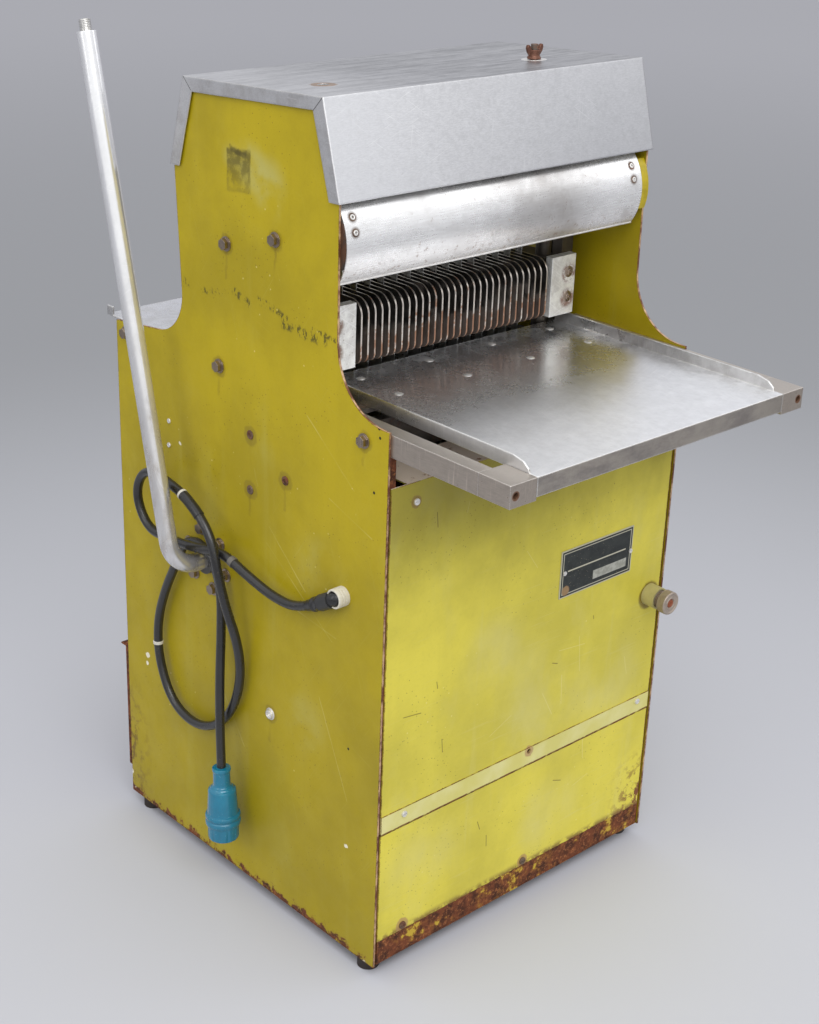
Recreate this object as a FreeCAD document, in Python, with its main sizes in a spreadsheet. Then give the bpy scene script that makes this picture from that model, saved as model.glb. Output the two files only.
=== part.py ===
"""Frame saw bread slicer with a hand feed lever, as a parametric FreeCAD document.

Millimetres, +Z up, +Y towards the back of the machine, +X to its right when it is seen from the front.
The origin lies on the floor, under the middle of the whole machine. Places in the formulas below are
counted from the left front corner of the case on the floor; place() adds where that corner lies.
"""
import FreeCAD, Part
import Sketcher
import math
import os
import re
from FreeCAD import Vector, Rotation, Placement

# ---------------------------------------------------------------------------------------------
# Driving dimensions
# ---------------------------------------------------------------------------------------------
SIZES = {
    # where the left front corner of the case stands in the frame
    "case_left": -238.45, "case_front": -199,
    # case: two folded side sheets on a frame of square tube
    "case_width": 540, "case_depth": 565, "foot_rise": 18, "foot_radius": 15, "side_gauge": 3,
    "shoulder_rise": 3, "neck_front": 95, "front_curve": 85,
    "neck_rear": 404.5, "rear_curve_rise": 17, "rear_curve": 62,
    "tube_side": 30, "front_post_place": 118, "stile_width": 12, "stile_gauge": 4,
    "slip_fit": 0.3, "running_fit": 0.05,
    # top cover: a folded stainless lid with a narrow flange over each side sheet
    "mouth_tall": 253, "cover_front_low": 92, "cover_front_top": 124, "cover_front_tall": 116,
    "cover_rear_top": 392, "cover_rear_low": 423, "cover_fall": 15, "cover_rear_tall": 114,
    "cover_gauge": 1.5, "cover_overhang": 4, "cover_flange": 17,
    "bridge_width": 34, "bridge_thickness": 14, "bridge_drop": 16, "bridge_place": 190,
    "lid_stud_radius": 5, "lid_stud_x": 424, "lid_hole_x": 66, "lid_hole_radius": 7,
    "lid_stud_length": 32,
    "wing_hub_radius": 9, "wing_hub_height": 12, "wing_span": 30, "wing_height": 15, "wing_gauge": 4,
    # front sheets
    "front_recess": 1, "front_gauge": 2, "front_edge_gap": 4, "front_drop": 70,
    "front_joint": 225, "hem_height": 27, "hem_proud": 0.8, "hem_hole_shift": 10, "hem_hole_radius": 3.5,
    "ledge_depth": 74, "kick_top": 56, "kick_bottom": 20, "sheet_gap": 1.5,
    # rear sheets
    "rear_gauge": 2, "rear_panel_low": 60, "rear_panel_drop": 4,
    "access_low": 60, "access_top": 266, "access_depth": 12, "access_lip": 24,
    # hood: a rolled stainless sheet over the mouth
    "hood_radius": 74, "hood_gauge": 1.5, "hood_axis_place": 161, "hood_drop": 53,
    "hood_low_angle": 37, "hood_wrap": 110, "hood_left": 5, "hood_right_gap": 18,
    "hood_bracket_width": 24, "hood_bracket_drop": 25, "hood_bracket_tall": 66,
    "hood_bracket_back": 150, "hood_screw_low": 18, "hood_screw_high": 35,
    "hood_screw_left": 14, "hood_screw_right": 16,
    # table
    "table_height": 780, "table_gauge": 2, "table_reach": 194,
    "arm_width": 21.7, "arm_tall": 28, "arm_back": 200,
    "block_width": 42.2, "block_depth": 50, "block_hole_radius": 4, "block_hole_depth": 20,
    "block_hole_inset": 9,
    "tray_edge": 46, "tray_back": 200, "tray_flange": 15, "tray_fold": 22, "tray_flange_start": 12,
    "tray_flange_round": 28,
    "bearer_depth": 24, "bearer_tall": 6, "bearer_front_place": 100, "bearer_rear_place": 172,
    "rivet_radius": 6, "rivet_rise": 1.6,
    "infeed_front": 262, "infeed_back": 592, "infeed_lip": 12, "infeed_lip_length": 14,
    "slot_width": 26,
    # slide rails under the table
    "rail_depth": 16, "rail_front_place": 100, "rail_rear_place": 542, "rail_drop": 80,
    "guide_radius": 7, "guide_drop": 40,
    # comb that pushes the loaf through the blades
    "comb_stroke": 250, "comb_shift": 5, "plate_row_gap": 6, "plate_pitch": 11.5,
    "plate_gauge": 2.5, "comb_front": 165, "comb_clear": 20, "comb_tall": 84, "plate_depth": 127,
    "plate_top_round": 20, "plate_low_round": 12,
    "end_plate_width": 47, "end_plate_gauge": 12, "end_plate_inset": 34,
    "comb_screw_radius": 5, "comb_screw_rise": 3, "comb_screw_low": 25, "comb_screw_step": 35,
    "side_arm_width": 22, "side_arm_wall": 4, "side_arm_tall": 64, "beam_gauge": 12,
    "post_inset": 60, "post_radius": 11, "post_place": 215, "post_rise": 21,
    "cheek_front": 195, "cheek_back": 285, "cheek_below": 36, "cheek_above": 17,
    "cross_beam_depth": 22, "cross_beam_tall": 22,
    "drive_pin_radius": 7, "drive_pin_place": 235, "drive_pin_drop": 20, "drive_pin_length": 18,
    # lever and its shaft
    "shaft_place": 360, "shaft_height": 490, "shaft_radius": 10,
    "lever_offset": 58, "lever_radius": 12.5, "lever_bore": 10.05, "lever_bend": 38,
    "lever_length": 703, "lever_lean": 13.2, "stud_radius": 8, "stud_length": 15, "stud_shank": 30,
    "boss_out": 8, "boss_in": 28, "boss_radius": 20, "bearing_flange": 54, "bearing_gauge": 8,
    "bearing_circle": 43, "bolt_radius": 4, "bolt_head": 7.5, "bolt_head_tall": 6, "washer_gauge": 1.4,
    "drive_arm_gauge": 10, "drive_arm_gap": 4, "drive_hub": 22, "drive_arm_width": 24,
    "drive_head_width": 44, "drive_head_margin": 10, "drive_end_margin": 7,
    "drive_slot_below": 39.8, "drive_slot_above": 8.2, "drive_slot_width": 23.6,
    # blade frames
    "crank_place": 227.5, "crank_height": 309, "crank_throw": 12, "crank_radius": 10,
    "frame_left": 14, "frame_side": 22, "frame_gauge": 18, "frame_drop": 175, "frame_clear": 64,
    "frame_bar": 25, "blade_gauge": 1, "blade_depth": 12, "blade_rod_radius": 5,
    "bracket_clear": 7, "bracket_head": 3, "bracket_tall": 16, "bracket_front": 200,
    "bracket_depth": 55,
    # crank drive
    "throw_outer": 92, "throw_step": 32, "crank_pin_radius": 7, "crank_pin_length": 16,
    "crank_web_radius": 24, "web_gauge": 8, "crank_end": 5,
    "rod_eye_radius": 44, "rod_eye_bore": 36.5, "rod_root": 3, "rod_gauge": 12, "rod_width": 16,
    "crank_flange": 42, "crank_hub": 18, "crank_hub_depth": 27,
    "pulley_place": 170, "pulley_width": 20, "crank_pulley_radius": 95, "motor_pulley_radius": 32,
    "belt_width": 9, "belt_tall": 7, "belt_sunk": 1, "belt_clear": 0.5,
    # motor
    "motor_place": 430, "motor_height": 150, "motor_radius": 62, "motor_left": 215,
    "motor_length": 190, "motor_nose": 8, "motor_nose_radius": 34, "motor_box_length": 80,
    "motor_box_depth": 60, "motor_box_rise": 28,
    "motor_shaft_radius": 7, "motor_shaft_depth": 22, "motor_foot_width": 24, "motor_foot_depth": 99,
    "motor_plate_gauge": 8, "motor_plate_left": 180, "motor_plate_length": 260,
    "motor_plate_front": 350, "motor_plate_depth": 160,
    # plate, push switch and cable gland
    "label_inset": 77.3, "label_width": 145.2, "label_low": 469, "label_tall": 70, "label_gauge": 1.5,
    "knob_inset": 29, "knob_height": 418, "knob_radius": 13, "knob_front": 41, "knob_back": 12,
    "knob_head_radius": 17, "knob_head_back": 27.5,
    "knob_stem_radius": 5, "knob_stem_end": 22, "collar_radius": 16, "collar_length": 21,
    "switch_width": 26, "switch_tall": 60, "switch_depth": 46, "switch_bore_depth": 34,
    "gland_place": 75.7, "gland_height": 543.7, "gland_radius": 13, "gland_out": 13,
    "gland_collar": 17, "gland_elbow_radius": 10,
    "gland_tail_radius": 9, "gland_tail": 12, "gland_angle": 31, "gland_nut_radius": 11,
    "gland_nut_start": 8, "gland_nut_end": 30,
    # cord and plug
    "cord_radius": 6.5, "cord_first_run": 52, "plug_length": 112, "plug_radius": 25,
    "plug_neck_radius": 13,
}

# Heights and reaches that follow from the sizes above. Everything over the floor of the mouth rises and
# falls with the table, and the drive arms reach from the lever's shaft to the drive pins.
FOLLOWING = {
    "shoulder_height": "table_height + shoulder_rise",
    "rear_shoulder_height": "table_height - table_gauge",
    "rear_curve_height": "table_height + rear_curve_rise",
    "cover_front_low_height": "table_height + mouth_tall",
    "cover_front_top_height": "cover_front_low_height + cover_front_tall",
    "cover_rear_top_height": "cover_front_top_height - cover_fall",
    "cover_rear_low_height": "cover_rear_top_height - cover_rear_tall",
    "bridge_height": "cover_rear_top_height - bridge_drop",
    "front_top": "table_height - front_drop",
    "rear_panel_top": "table_height - rear_panel_drop",
    "hood_axis_height": "cover_front_low_height - hood_drop",
    "hood_bracket_low": "hood_axis_height - hood_bracket_drop",
    "hood_right": "case_width - hood_right_gap",
    "hem_hole_x": "case_width / 2 + hem_hole_shift",
    "label_left": "case_width - label_inset - label_width",
    "knob_x": "case_width - knob_inset",
    "rail_low": "table_height - rail_drop",
    "guide_height": "table_height - guide_drop",
    "comb_centre": "case_width / 2 - comb_shift",
    "post_offset": "case_width / 2 - post_inset",
    "end_plate_offset": "post_offset - end_plate_inset",
    "plate_count": "floor(2 * (end_plate_offset - plate_row_gap) / plate_pitch) + 1",
    "comb_low": "table_height + comb_clear",
    "post_top": "comb_low + comb_tall + post_rise",
    "cheek_low": "guide_height - cheek_below",
    "cheek_top": "guide_height + cheek_above",
    "drive_pin_height": "guide_height - drive_pin_drop",
    "frame_low": "table_height - frame_drop",
    "frame_top": "cover_front_top_height - frame_clear",
    "drive_reach": "sqrt((shaft_place - drive_pin_place)^2 + (drive_pin_height - shaft_height)^2)",
    "drive_slot_start": "drive_reach - drive_slot_below",
    "drive_slot_end": "drive_reach + drive_slot_above",
    "drive_head_start": "drive_slot_start - drive_head_margin",
    "drive_arm_reach": "drive_slot_end + drive_end_margin",
}

# Fasteners of the side sheets: how far back from the front edge, and the height over the floor, over the
# table for the hexagon bolts, or from the crankshaft's middle for the bolt at its end.
HEX_BOLTS = ((311.5, 159.8), (213.6, 186), (328.7, -4.6), (44, -20), (541.7, -15.3))
COUNTERSUNK_BOLTS = ((263.9, 700.2), (264.2, 623.7), (191.9, 660.2))
SIDE_SCREWS = ((443.8, 665.3), (445.1, 629.9))
CRANK_BOLT = (-6, -0.3)
# Screws of the front sheets: how far from the left edge, or from the right edge where it is negative, and
# how far over an edge of a sheet, which is given by its name.
FRONT_SCREWS = (
    (48, "front_top", -26), (46, "front_joint", 18), (-33, "front_joint", 19),
    (51, "kick_top", 8), (282, "kick_top", 8),
)
LABEL_SCREWS = ((7.5, 37), (141.8, 32))
# The table's rivets: how far each column lies from the middle of the case.
RIVET_COLUMNS = (-165, -47, 69, 182)

# The cord's route from its first bend after the gland to the plug, as corner points. Each point gives
# how far it lies left of the side sheet (negative X), how far back from the front edge, and its height.
CORD_ROUTE = (
    (-15, 195, 499), (-20, 245, 513), (-23, 298, 530),
    (-29.5, 350, 518), (-29.5, 406, 511), (-29.5, 460, 507.5), (-30, 487.5, 553), (-31, 461, 598),
    (-34, 407, 600), (-37, 350, 591), (-37, 302, 557), (-37, 287, 504), (-29, 280, 452),
    (-18, 271, 405), (-12, 270, 352), (-12, 287, 293), (-12, 325, 246), (-12, 380, 222),
    (-12, 436, 236), (-12, 466, 292), (-12, 468, 352), (-13, 446, 412), (-15.5, 411, 471),
    (-15.5, 385.8, 517), (-15.5, 333.5, 517), (-15.5, 309, 471), (-17, 308, 405), (-22, 305, 350),
    (-27, 300, 300), (-31, 294, 250), (-32, 291, 204),
)

# How far a small head stands off the sheet that it is seated on.
SEAT = 0.05

doc = FreeCAD.newDocument("BreadSlicer")
subparts = []


# ---------------------------------------------------------------------------------------------
# Helpers
# ---------------------------------------------------------------------------------------------
def make_sheet():
    """Write every driving dimension to the spreadsheet, with its alias."""
    sheet = doc.addObject("Spreadsheet::Sheet", "Sizes")
    for row, (alias, value) in enumerate(SIZES.items(), start=1):
        sheet.set(f"A{row}", alias)
        sheet.set(f"B{row}", str(value))
        sheet.setAlias(f"B{row}", alias)
    doc.recompute()
    return sheet


def make_following():
    """Bind every following size to its formula, as a property of one object."""
    holder = doc.addObject("App::VarSet", "Following")
    for name, text in FOLLOWING.items():
        holder.addProperty("App::PropertyFloat", name)
        holder.setExpression(name, formula(text))
    doc.recompute()
    return holder


NAMES = re.compile(r"\b(" + "|".join([*SIZES, *FOLLOWING]) + r")\b")


def formula(text):
    """Turn a formula of names into one that FreeCAD's expression engine reads."""
    return NAMES.sub(lambda found: f"{'Sizes' if found[1] in SIZES else 'Following'}.{found[1]}", str(text))


sizes = make_sheet()
following = make_following()


def size(name):
    """The value of a driving dimension or of one that follows from them."""
    return float(getattr(sizes if name in SIZES else following, name))


def bind(item, **formulas):
    """Bind an object's properties to formulas of the spreadsheet's aliases."""
    for name, text in formulas.items():
        item.setExpression(name, formula(text))
    return item


def place(item, x, y, z):
    """Put an object's own origin at a point that is counted from the corner of the case."""
    item.setExpression("Placement.Base.x", formula(f"case_left + {x}"))
    item.setExpression("Placement.Base.y", formula(f"case_front + {y}"))
    item.setExpression("Placement.Base.z", formula(z))
    return item


def place_locally(item, x, y, z):
    """Put a piece at a point that is counted from the origin of the sub-part that it goes into."""
    item.setExpression("Placement.Base.x", formula(x))
    item.setExpression("Placement.Base.y", formula(y))
    item.setExpression("Placement.Base.z", formula(z))
    return item


def corner():
    """The left front corner of the case on the floor, for shapes that Part's own functions make."""
    return Vector(size("case_left"), size("case_front"), 0)


def box(x, y, z, length, width, height, put=place):
    """A Part::Box from formulas of its low corner and its sides."""
    item = doc.addObject("Part::Box", "Box")
    bind(item, Length=length, Width=width, Height=height)
    return put(item, x, y, z)


AXIS_TURN = {
    "X": Rotation(Vector(0, 1, 0), 90),
    "Y": Rotation(Vector(1, 0, 0), -90),
    "Z": Rotation(),
}


def rod(axis, x, y, z, radius, length, put=place):
    """A Part::Cylinder along one axis, from the middle of its low end."""
    item = doc.addObject("Part::Cylinder", "Cylinder")
    item.Placement = Placement(Vector(), AXIS_TURN[axis])
    bind(item, Radius=radius, Height=length)
    return put(item, x, y, z)


def fuse(parts):
    """One solid from touching parts."""
    item = doc.addObject("Part::MultiFuse", "Fuse")
    item.Shapes = parts
    item.Refine = True
    return item


def gather(parts):
    """A group of separate solids."""
    item = doc.addObject("Part::Compound", "Group")
    item.Links = parts
    return item


def cut(base, tools):
    """A part less some tools."""
    item = doc.addObject("Part::Cut", "Cut")
    item.Base = base
    item.Tool = tools[0] if len(tools) == 1 else gather(tools)
    return item


def keep(item, label):
    """Name an object as one of the machine's sub-parts."""
    item.Label = label
    subparts.append(item)
    return item


def shape_feature(shape, label):
    """A sub-part whose shape Part's own functions made, because no single primitive or body fits it."""
    item = doc.addObject("Part::Feature", "Shape")
    item.Shape = shape
    return keep(item, label)


def new_body(name):
    """A PartDesign body that stands at the corner of the case."""
    body = doc.addObject("PartDesign::Body", name + "_body")
    return place(body, 0, 0, 0)


def origin_feature(body, role):
    """One of a body's own origin planes or axes."""
    return [feature for feature in body.Origin.OriginFeatures if feature.Role == role][0]


def new_sketch(body, plane, height="0"):
    """A sketch on one of the body's origin planes, raised along the plane's normal."""
    sketch = body.newObject("Sketcher::SketchObject", body.Name + "_sketch")
    sketch.AttachmentSupport = (origin_feature(body, plane), "")
    sketch.MapMode = "FlatFace"
    sketch.setExpression("AttachmentOffset.Base.z", formula(height))
    return sketch


def outline(body, plane, points, height="0"):
    """A closed polygon sketch whose corners are bound to pairs of formulas."""
    sketch = new_sketch(body, plane, height)
    count = len(points)
    for index in range(count):
        angle = 2 * math.pi * index / count
        following = 2 * math.pi * (index + 1) / count
        start = Vector(math.cos(angle), math.sin(angle), 0) * 100
        end = Vector(math.cos(following), math.sin(following), 0) * 100
        sketch.addGeometry(Part.LineSegment(start, end))
    for index in range(count):
        sketch.addConstraint(Sketcher.Constraint("Coincident", index, 2, (index + 1) % count, 1))
    for index, pair in enumerate(points):
        for kind, text in zip(("DistanceX", "DistanceY"), pair):
            number = sketch.addConstraint(Sketcher.Constraint(kind, -1, 1, index, 1, 1.0))
            sketch.setExpression(f"Constraints[{number}]", formula(text))
    return sketch


def circles(body, plane, centres, radius, height="0"):
    """A sketch of equal circles at pairs of formulas."""
    sketch = new_sketch(body, plane, height)
    for index, (across, up) in enumerate(centres):
        sketch.addGeometry(Part.Circle(Vector(0, 0, 0), Vector(0, 0, 1), 5))
        numbers = [
            sketch.addConstraint(Sketcher.Constraint("DistanceX", -1, 1, index, 3, 1.0)),
            sketch.addConstraint(Sketcher.Constraint("DistanceY", -1, 1, index, 3, 1.0)),
            sketch.addConstraint(Sketcher.Constraint("Radius", index, 5.0)),
        ]
        for number, text in zip(numbers, (across, up, radius)):
            sketch.setExpression(f"Constraints[{number}]", formula(text))
    return sketch


def pad(body, sketch, length):
    """Pad a sketch along its plane's normal."""
    feature = body.newObject("PartDesign::Pad", body.Name + "_pad")
    feature.Profile = sketch
    return bind(feature, Length=length)


def pocket(body, sketch, length=None):
    """Cut a sketch into the body along its plane's normal, or right through it both ways."""
    feature = body.newObject("PartDesign::Pocket", body.Name + "_pocket")
    feature.Profile = sketch
    feature.Reversed = True
    if length is None:
        feature.Type = "ThroughAll"
        feature.Midplane = True
        return feature
    return bind(feature, Length=length)


def round_corners(body, feature, sketch, radii):
    """Fillet the edges that rise from the numbered corners of a padded sketch."""
    doc.recompute()
    for index, radius in radii.items():
        point = sketch.Placement.multVec(sketch.Geometry[index].StartPoint)
        normal = sketch.Placement.Rotation.multVec(Vector(0, 0, 1))
        names = []
        for number, edge in enumerate(feature.Shape.Edges, start=1):
            direction = edge.Vertexes[-1].Point - edge.Vertexes[0].Point
            rises = direction.Length > 0 and direction.cross(normal).Length < 1e-6 * direction.Length
            offset = edge.Vertexes[0].Point - point
            if rises and offset.cross(normal).Length < 1e-4:
                names.append(f"Edge{number}")
        fillet = body.newObject("PartDesign::Fillet", body.Name + "_round")
        fillet.Base = (feature, names)
        bind(fillet, Radius=radius)
        doc.recompute()
        feature = fillet
    return feature


def along(direction, shape, point):
    """Turn a shape that is made along +Z into a direction, and set it at a point."""
    placed = shape.copy()
    placed.Placement = Placement(point, Rotation(Vector(0, 0, 1), direction))
    return placed


def dome_screw(head_radius, rise, shank_radius, shank_length):
    """A round-headed screw along +Z, with its head above the origin and its shank below."""
    ball_radius = (head_radius ** 2 + rise ** 2) / (2 * rise)
    ball = Part.makeSphere(ball_radius, Vector(0, 0, rise - ball_radius))
    head = ball.common(Part.makeCylinder(head_radius, rise))
    shank = Part.makeCylinder(shank_radius, shank_length, Vector(0, 0, -shank_length))
    return head.fuse(shank).removeSplitter()


def hexagon(radius, height, start):
    """A hexagonal prism along +Z, radius over its corners."""
    points = []
    for step in range(7):
        angle = math.radians(60 * step)
        points.append(Vector(radius * math.cos(angle), radius * math.sin(angle), start))
    return Part.Face(Part.makePolygon(points)).extrude(Vector(0, 0, height))


def hex_bolt(grip, has_nut):
    """A bolt with washer and head along +Z, that goes through a thickness below the origin."""
    shank = size("bolt_radius")
    head = size("bolt_head")
    tall = size("bolt_head_tall")
    washer = size("washer_gauge")
    body = Part.makeCylinder(head + 2, washer)
    body = body.fuse(hexagon(head, tall, washer))
    body = body.fuse(Part.makeCylinder(shank, grip, Vector(0, 0, -grip)))
    if has_nut:
        body = body.fuse(hexagon(head, tall, -grip - tall))
    return body.removeSplitter()


# ---------------------------------------------------------------------------------------------
# Case
# ---------------------------------------------------------------------------------------------
SIDE_OUTLINE = (
    ("0", "foot_rise"),
    ("0", "shoulder_height"),
    ("neck_front", "shoulder_height"),
    ("neck_front + 2", "cover_front_low_height"),
    ("cover_front_top + cover_gauge + 2", "cover_front_top_height - cover_gauge - slip_fit"),
    ("cover_rear_top - cover_gauge - 2", "cover_rear_top_height - cover_gauge - slip_fit"),
    ("cover_rear_low - cover_gauge - 2", "cover_rear_low_height"),
    ("neck_rear", "rear_curve_height"),
    ("case_depth", "rear_shoulder_height"),
    ("case_depth", "foot_rise"),
)


def bearing_bolt_places():
    """Where the six bolts of a shaft bearing lie, as pairs of formulas."""
    places = []
    for step in range(6):
        angle = 13 + 60 * step
        across = f"shaft_place + bearing_circle * cos({angle} deg)"
        up = f"shaft_height + bearing_circle * sin({angle} deg)"
        places.append((across, up))
    return places


def side_panel(label, left, gland):
    """One side sheet, with its holes for the shaft bearing, the bolts and the cable gland."""
    body = new_body(label)
    sketch = outline(body, "YZ_Plane", SIDE_OUTLINE)
    sheet = pad(body, sketch, "side_gauge")
    round_corners(body, sheet, sketch, {2: "front_curve", 7: "rear_curve"})
    bore = circles(body, "YZ_Plane", [("shaft_place", "shaft_height")], "boss_radius + slip_fit")
    pocket(body, bore)
    hexagon_bolts = [(back, f"table_height + {rise}") for back, rise in HEX_BOLTS]
    crank_bolt = (f"crank_place + {CRANK_BOLT[0]}", f"crank_height + {CRANK_BOLT[1]}")
    bolts = [*bearing_bolt_places(), *hexagon_bolts, *COUNTERSUNK_BOLTS, crank_bolt]
    pocket(body, circles(body, "YZ_Plane", bolts, "bolt_radius + slip_fit"))
    if gland:
        hole = circles(body, "YZ_Plane", [("gland_place", "gland_height")], "gland_tail_radius + slip_fit")
        pocket(body, hole)
    place(body, left, 0, 0)
    keep(body, label)


def base_frame():
    """The welded frame: tube rails on the floor, four posts, and two flat stiles behind the front sheets."""
    inner = "case_width - 2 * side_gauge - 2 * tube_side"
    length = "case_depth - 2 * front_recess - 2 * front_gauge"
    start = "front_recess + front_gauge"
    rails = [
        box("side_gauge", start, "foot_rise", "tube_side", length, "tube_side"),
        box("case_width - side_gauge - tube_side", start, "foot_rise", "tube_side", length, "tube_side"),
    ]
    last = "case_depth - front_recess - front_gauge - tube_side"
    for across in (start, "motor_plate_front", "motor_plate_front + motor_plate_depth - tube_side", last):
        rails.append(box("side_gauge + tube_side", across, "foot_rise", inner, "tube_side", "tube_side"))
    low = "foot_rise + tube_side"
    right = "case_width - side_gauge - tube_side"
    front_tall = f"table_height - arm_tall - ({low})"
    rear_tall = f"table_height - table_gauge - ({low})"
    for left in ("side_gauge", right):
        rails.append(box(left, "front_post_place", low, "tube_side", "tube_side", front_tall))
        rails.append(box(left, last, low, "tube_side", "tube_side", rear_tall))
    for left in ("side_gauge", "case_width - side_gauge - stile_width"):
        rails.append(box(left, start, low, "stile_width", "stile_gauge", front_tall))
    keep(fuse(rails), "base_frame")


def rubber_feet():
    """A round foot under each end of the side rails."""
    middle = "tube_side / 2"
    feet = []
    for across in (f"side_gauge + {middle}", f"case_width - side_gauge - {middle}"):
        for back in (f"foot_radius + {middle}", f"case_depth - foot_radius - {middle}"):
            feet.append(rod("Z", across, back, "0", "foot_radius", "foot_rise"))
    keep(gather(feet), "rubber_feet")


def folded_front(low, tall, extra):
    """A front sheet between the side sheets, with its two side folds and any extra pieces."""
    left = "side_gauge + front_edge_gap"
    wide = "case_width - 2 * side_gauge - 2 * front_edge_gap"
    face = box(left, "front_recess", low, wide, "front_gauge", tall)
    return fuse([face, *extra])


def upper_front_panel():
    """The upper front sheet: a pale ledge on top, a screwed hem below, and a hole for the switch."""
    left = "side_gauge + front_edge_gap"
    wide = "case_width - 2 * side_gauge - 2 * front_edge_gap"
    ledge_left = "side_gauge + tube_side + slip_fit"
    ledge_wide = "case_width - 2 * side_gauge - 2 * tube_side - 2 * slip_fit"
    ledge_low = "front_top - front_gauge"
    ledge = box(ledge_left, "front_recess", ledge_low, ledge_wide, "ledge_depth", "front_gauge")
    hem = box(left, "front_recess - hem_proud", "front_joint", wide, "hem_proud", "hem_height")
    sheet = folded_front("front_joint", "front_top - front_joint", [ledge, hem])
    through = "front_recess + front_gauge + 1"
    holes = [
        rod("Y", "knob_x", "0", "knob_height", "knob_stem_radius + slip_fit", through),
        rod("Y", "hem_hole_x", "-hem_proud", "front_joint + hem_height * 0.8", "hem_hole_radius",
            f"{through} + hem_proud"),
    ]
    keep(cut(sheet, holes), "upper_front_panel")


def lower_front_panels():
    """The plain sheet under the joint and the kick plate at the floor."""
    tall = "front_joint - sheet_gap - kick_top"
    left = "side_gauge + front_edge_gap"
    wide = "case_width - 2 * side_gauge - 2 * front_edge_gap"
    keep(box(left, "front_recess", "kick_top", wide, "front_gauge", tall), "lower_front_panel")
    kick_tall = "kick_top - kick_bottom - slip_fit"
    keep(box(left, "front_recess", "kick_bottom", wide, "front_gauge", kick_tall), "kick_plate")


def rear_panels():
    """The back sheet and the shallow access cover that hangs on it, with its bent lip."""
    wide = "case_width - 2 * side_gauge"
    back = "case_depth - front_recess - front_gauge"
    tall = "rear_panel_top - rear_panel_low"
    keep(box("side_gauge", back, "rear_panel_low", wide, "rear_gauge", tall), "rear_panel")
    start = f"{back} + rear_gauge"
    cover_tall = "access_top - access_low"
    face_place = f"{start} + access_depth - rear_gauge"
    right = "case_width - side_gauge - rear_gauge"
    pieces = [
        box("side_gauge", face_place, "access_low", wide, "rear_gauge", cover_tall),
        box("side_gauge", start, "access_low", "rear_gauge", "access_depth", cover_tall),
        box(right, start, "access_low", "rear_gauge", "access_depth", cover_tall),
        box("side_gauge", start, "access_top - rear_gauge", wide, "access_lip", "rear_gauge"),
    ]
    keep(fuse(pieces), "rear_access_cover")


# ---------------------------------------------------------------------------------------------
# Top cover and hood
# ---------------------------------------------------------------------------------------------
def cover_outline(inset):
    """The cover's side view, drawn in by a distance, and open at its foot when it is drawn in."""
    drop = "60" if inset != "0" else "0"
    return (
        (f"cover_front_low + {inset} - {drop} * (cover_front_top - cover_front_low) / "
         "(cover_front_top_height - cover_front_low_height)", f"cover_front_low_height - {drop}"),
        (f"cover_front_top + {inset}", f"cover_front_top_height - {inset}"),
        (f"cover_rear_top - {inset}", f"cover_rear_top_height - {inset}"),
        (f"cover_rear_low - {inset} + {drop} * (cover_rear_low - cover_rear_top) / "
         "(cover_rear_top_height - cover_rear_low_height)", f"cover_rear_low_height - {drop}"),
    )


def top_cover():
    """The folded lid: hollow from below, and cut out at each side to leave a mitred flange."""
    body = new_body("top_cover")
    width = "case_width + 2 * cover_overhang"
    pad(body, outline(body, "YZ_Plane", cover_outline("0")), width)
    hollow = outline(body, "YZ_Plane", cover_outline("cover_gauge"), "cover_gauge")
    pocket(body, hollow, f"{width} - 2 * cover_gauge")
    window = outline(body, "YZ_Plane", cover_outline("cover_flange"))
    pocket(body, window)
    stud_place = "bridge_place + bridge_width / 2"
    centres = [("lid_stud_x + cover_overhang", stud_place), ("lid_hole_x + cover_overhang", stud_place)]
    pocket(body, circles(body, "XY_Plane", centres, "lid_hole_radius"))
    place(body, "-cover_overhang", 0, 0)
    keep(body, "top_cover")


def lid_fastening():
    """A bar across the neck with a welded stud, and the wing nut that holds the cover down."""
    wide = "case_width - 2 * side_gauge"
    bar = box("side_gauge", "bridge_place", "bridge_height", wide, "bridge_width", "bridge_thickness")
    middle = "bridge_place + bridge_width / 2"
    top = "bridge_height + bridge_thickness"
    stud = rod("Z", "lid_stud_x", middle, top, "lid_stud_radius", "lid_stud_length")
    keep(fuse([bar, stud]), "cover_bridge")
    run = "(cover_rear_top - cover_front_top)"
    fall = "(cover_front_top_height - cover_rear_top_height)"
    seat = f"cover_front_top_height - {fall} * ({middle} - wing_hub_radius - cover_front_top) / {run}"
    seat = f"{seat} + slip_fit"
    hub = rod("Z", "lid_stud_x", middle, seat, "wing_hub_radius", "wing_hub_height")
    wings = []
    for side in ("-1", "1"):
        left = f"lid_stud_x + {side} * wing_span / 2 - wing_span / 4"
        front = f"{middle} - wing_gauge / 2"
        low = f"{seat} + wing_hub_height / 3"
        wings.append(box(left, front, low, "wing_span / 2", "wing_gauge", "wing_height"))
    bore = rod("Z", "lid_stud_x", middle, seat, "lid_stud_radius + running_fit", "wing_hub_height * 2")
    keep(cut(fuse([hub, *wings]), [bore]), "wing_nut")


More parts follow.
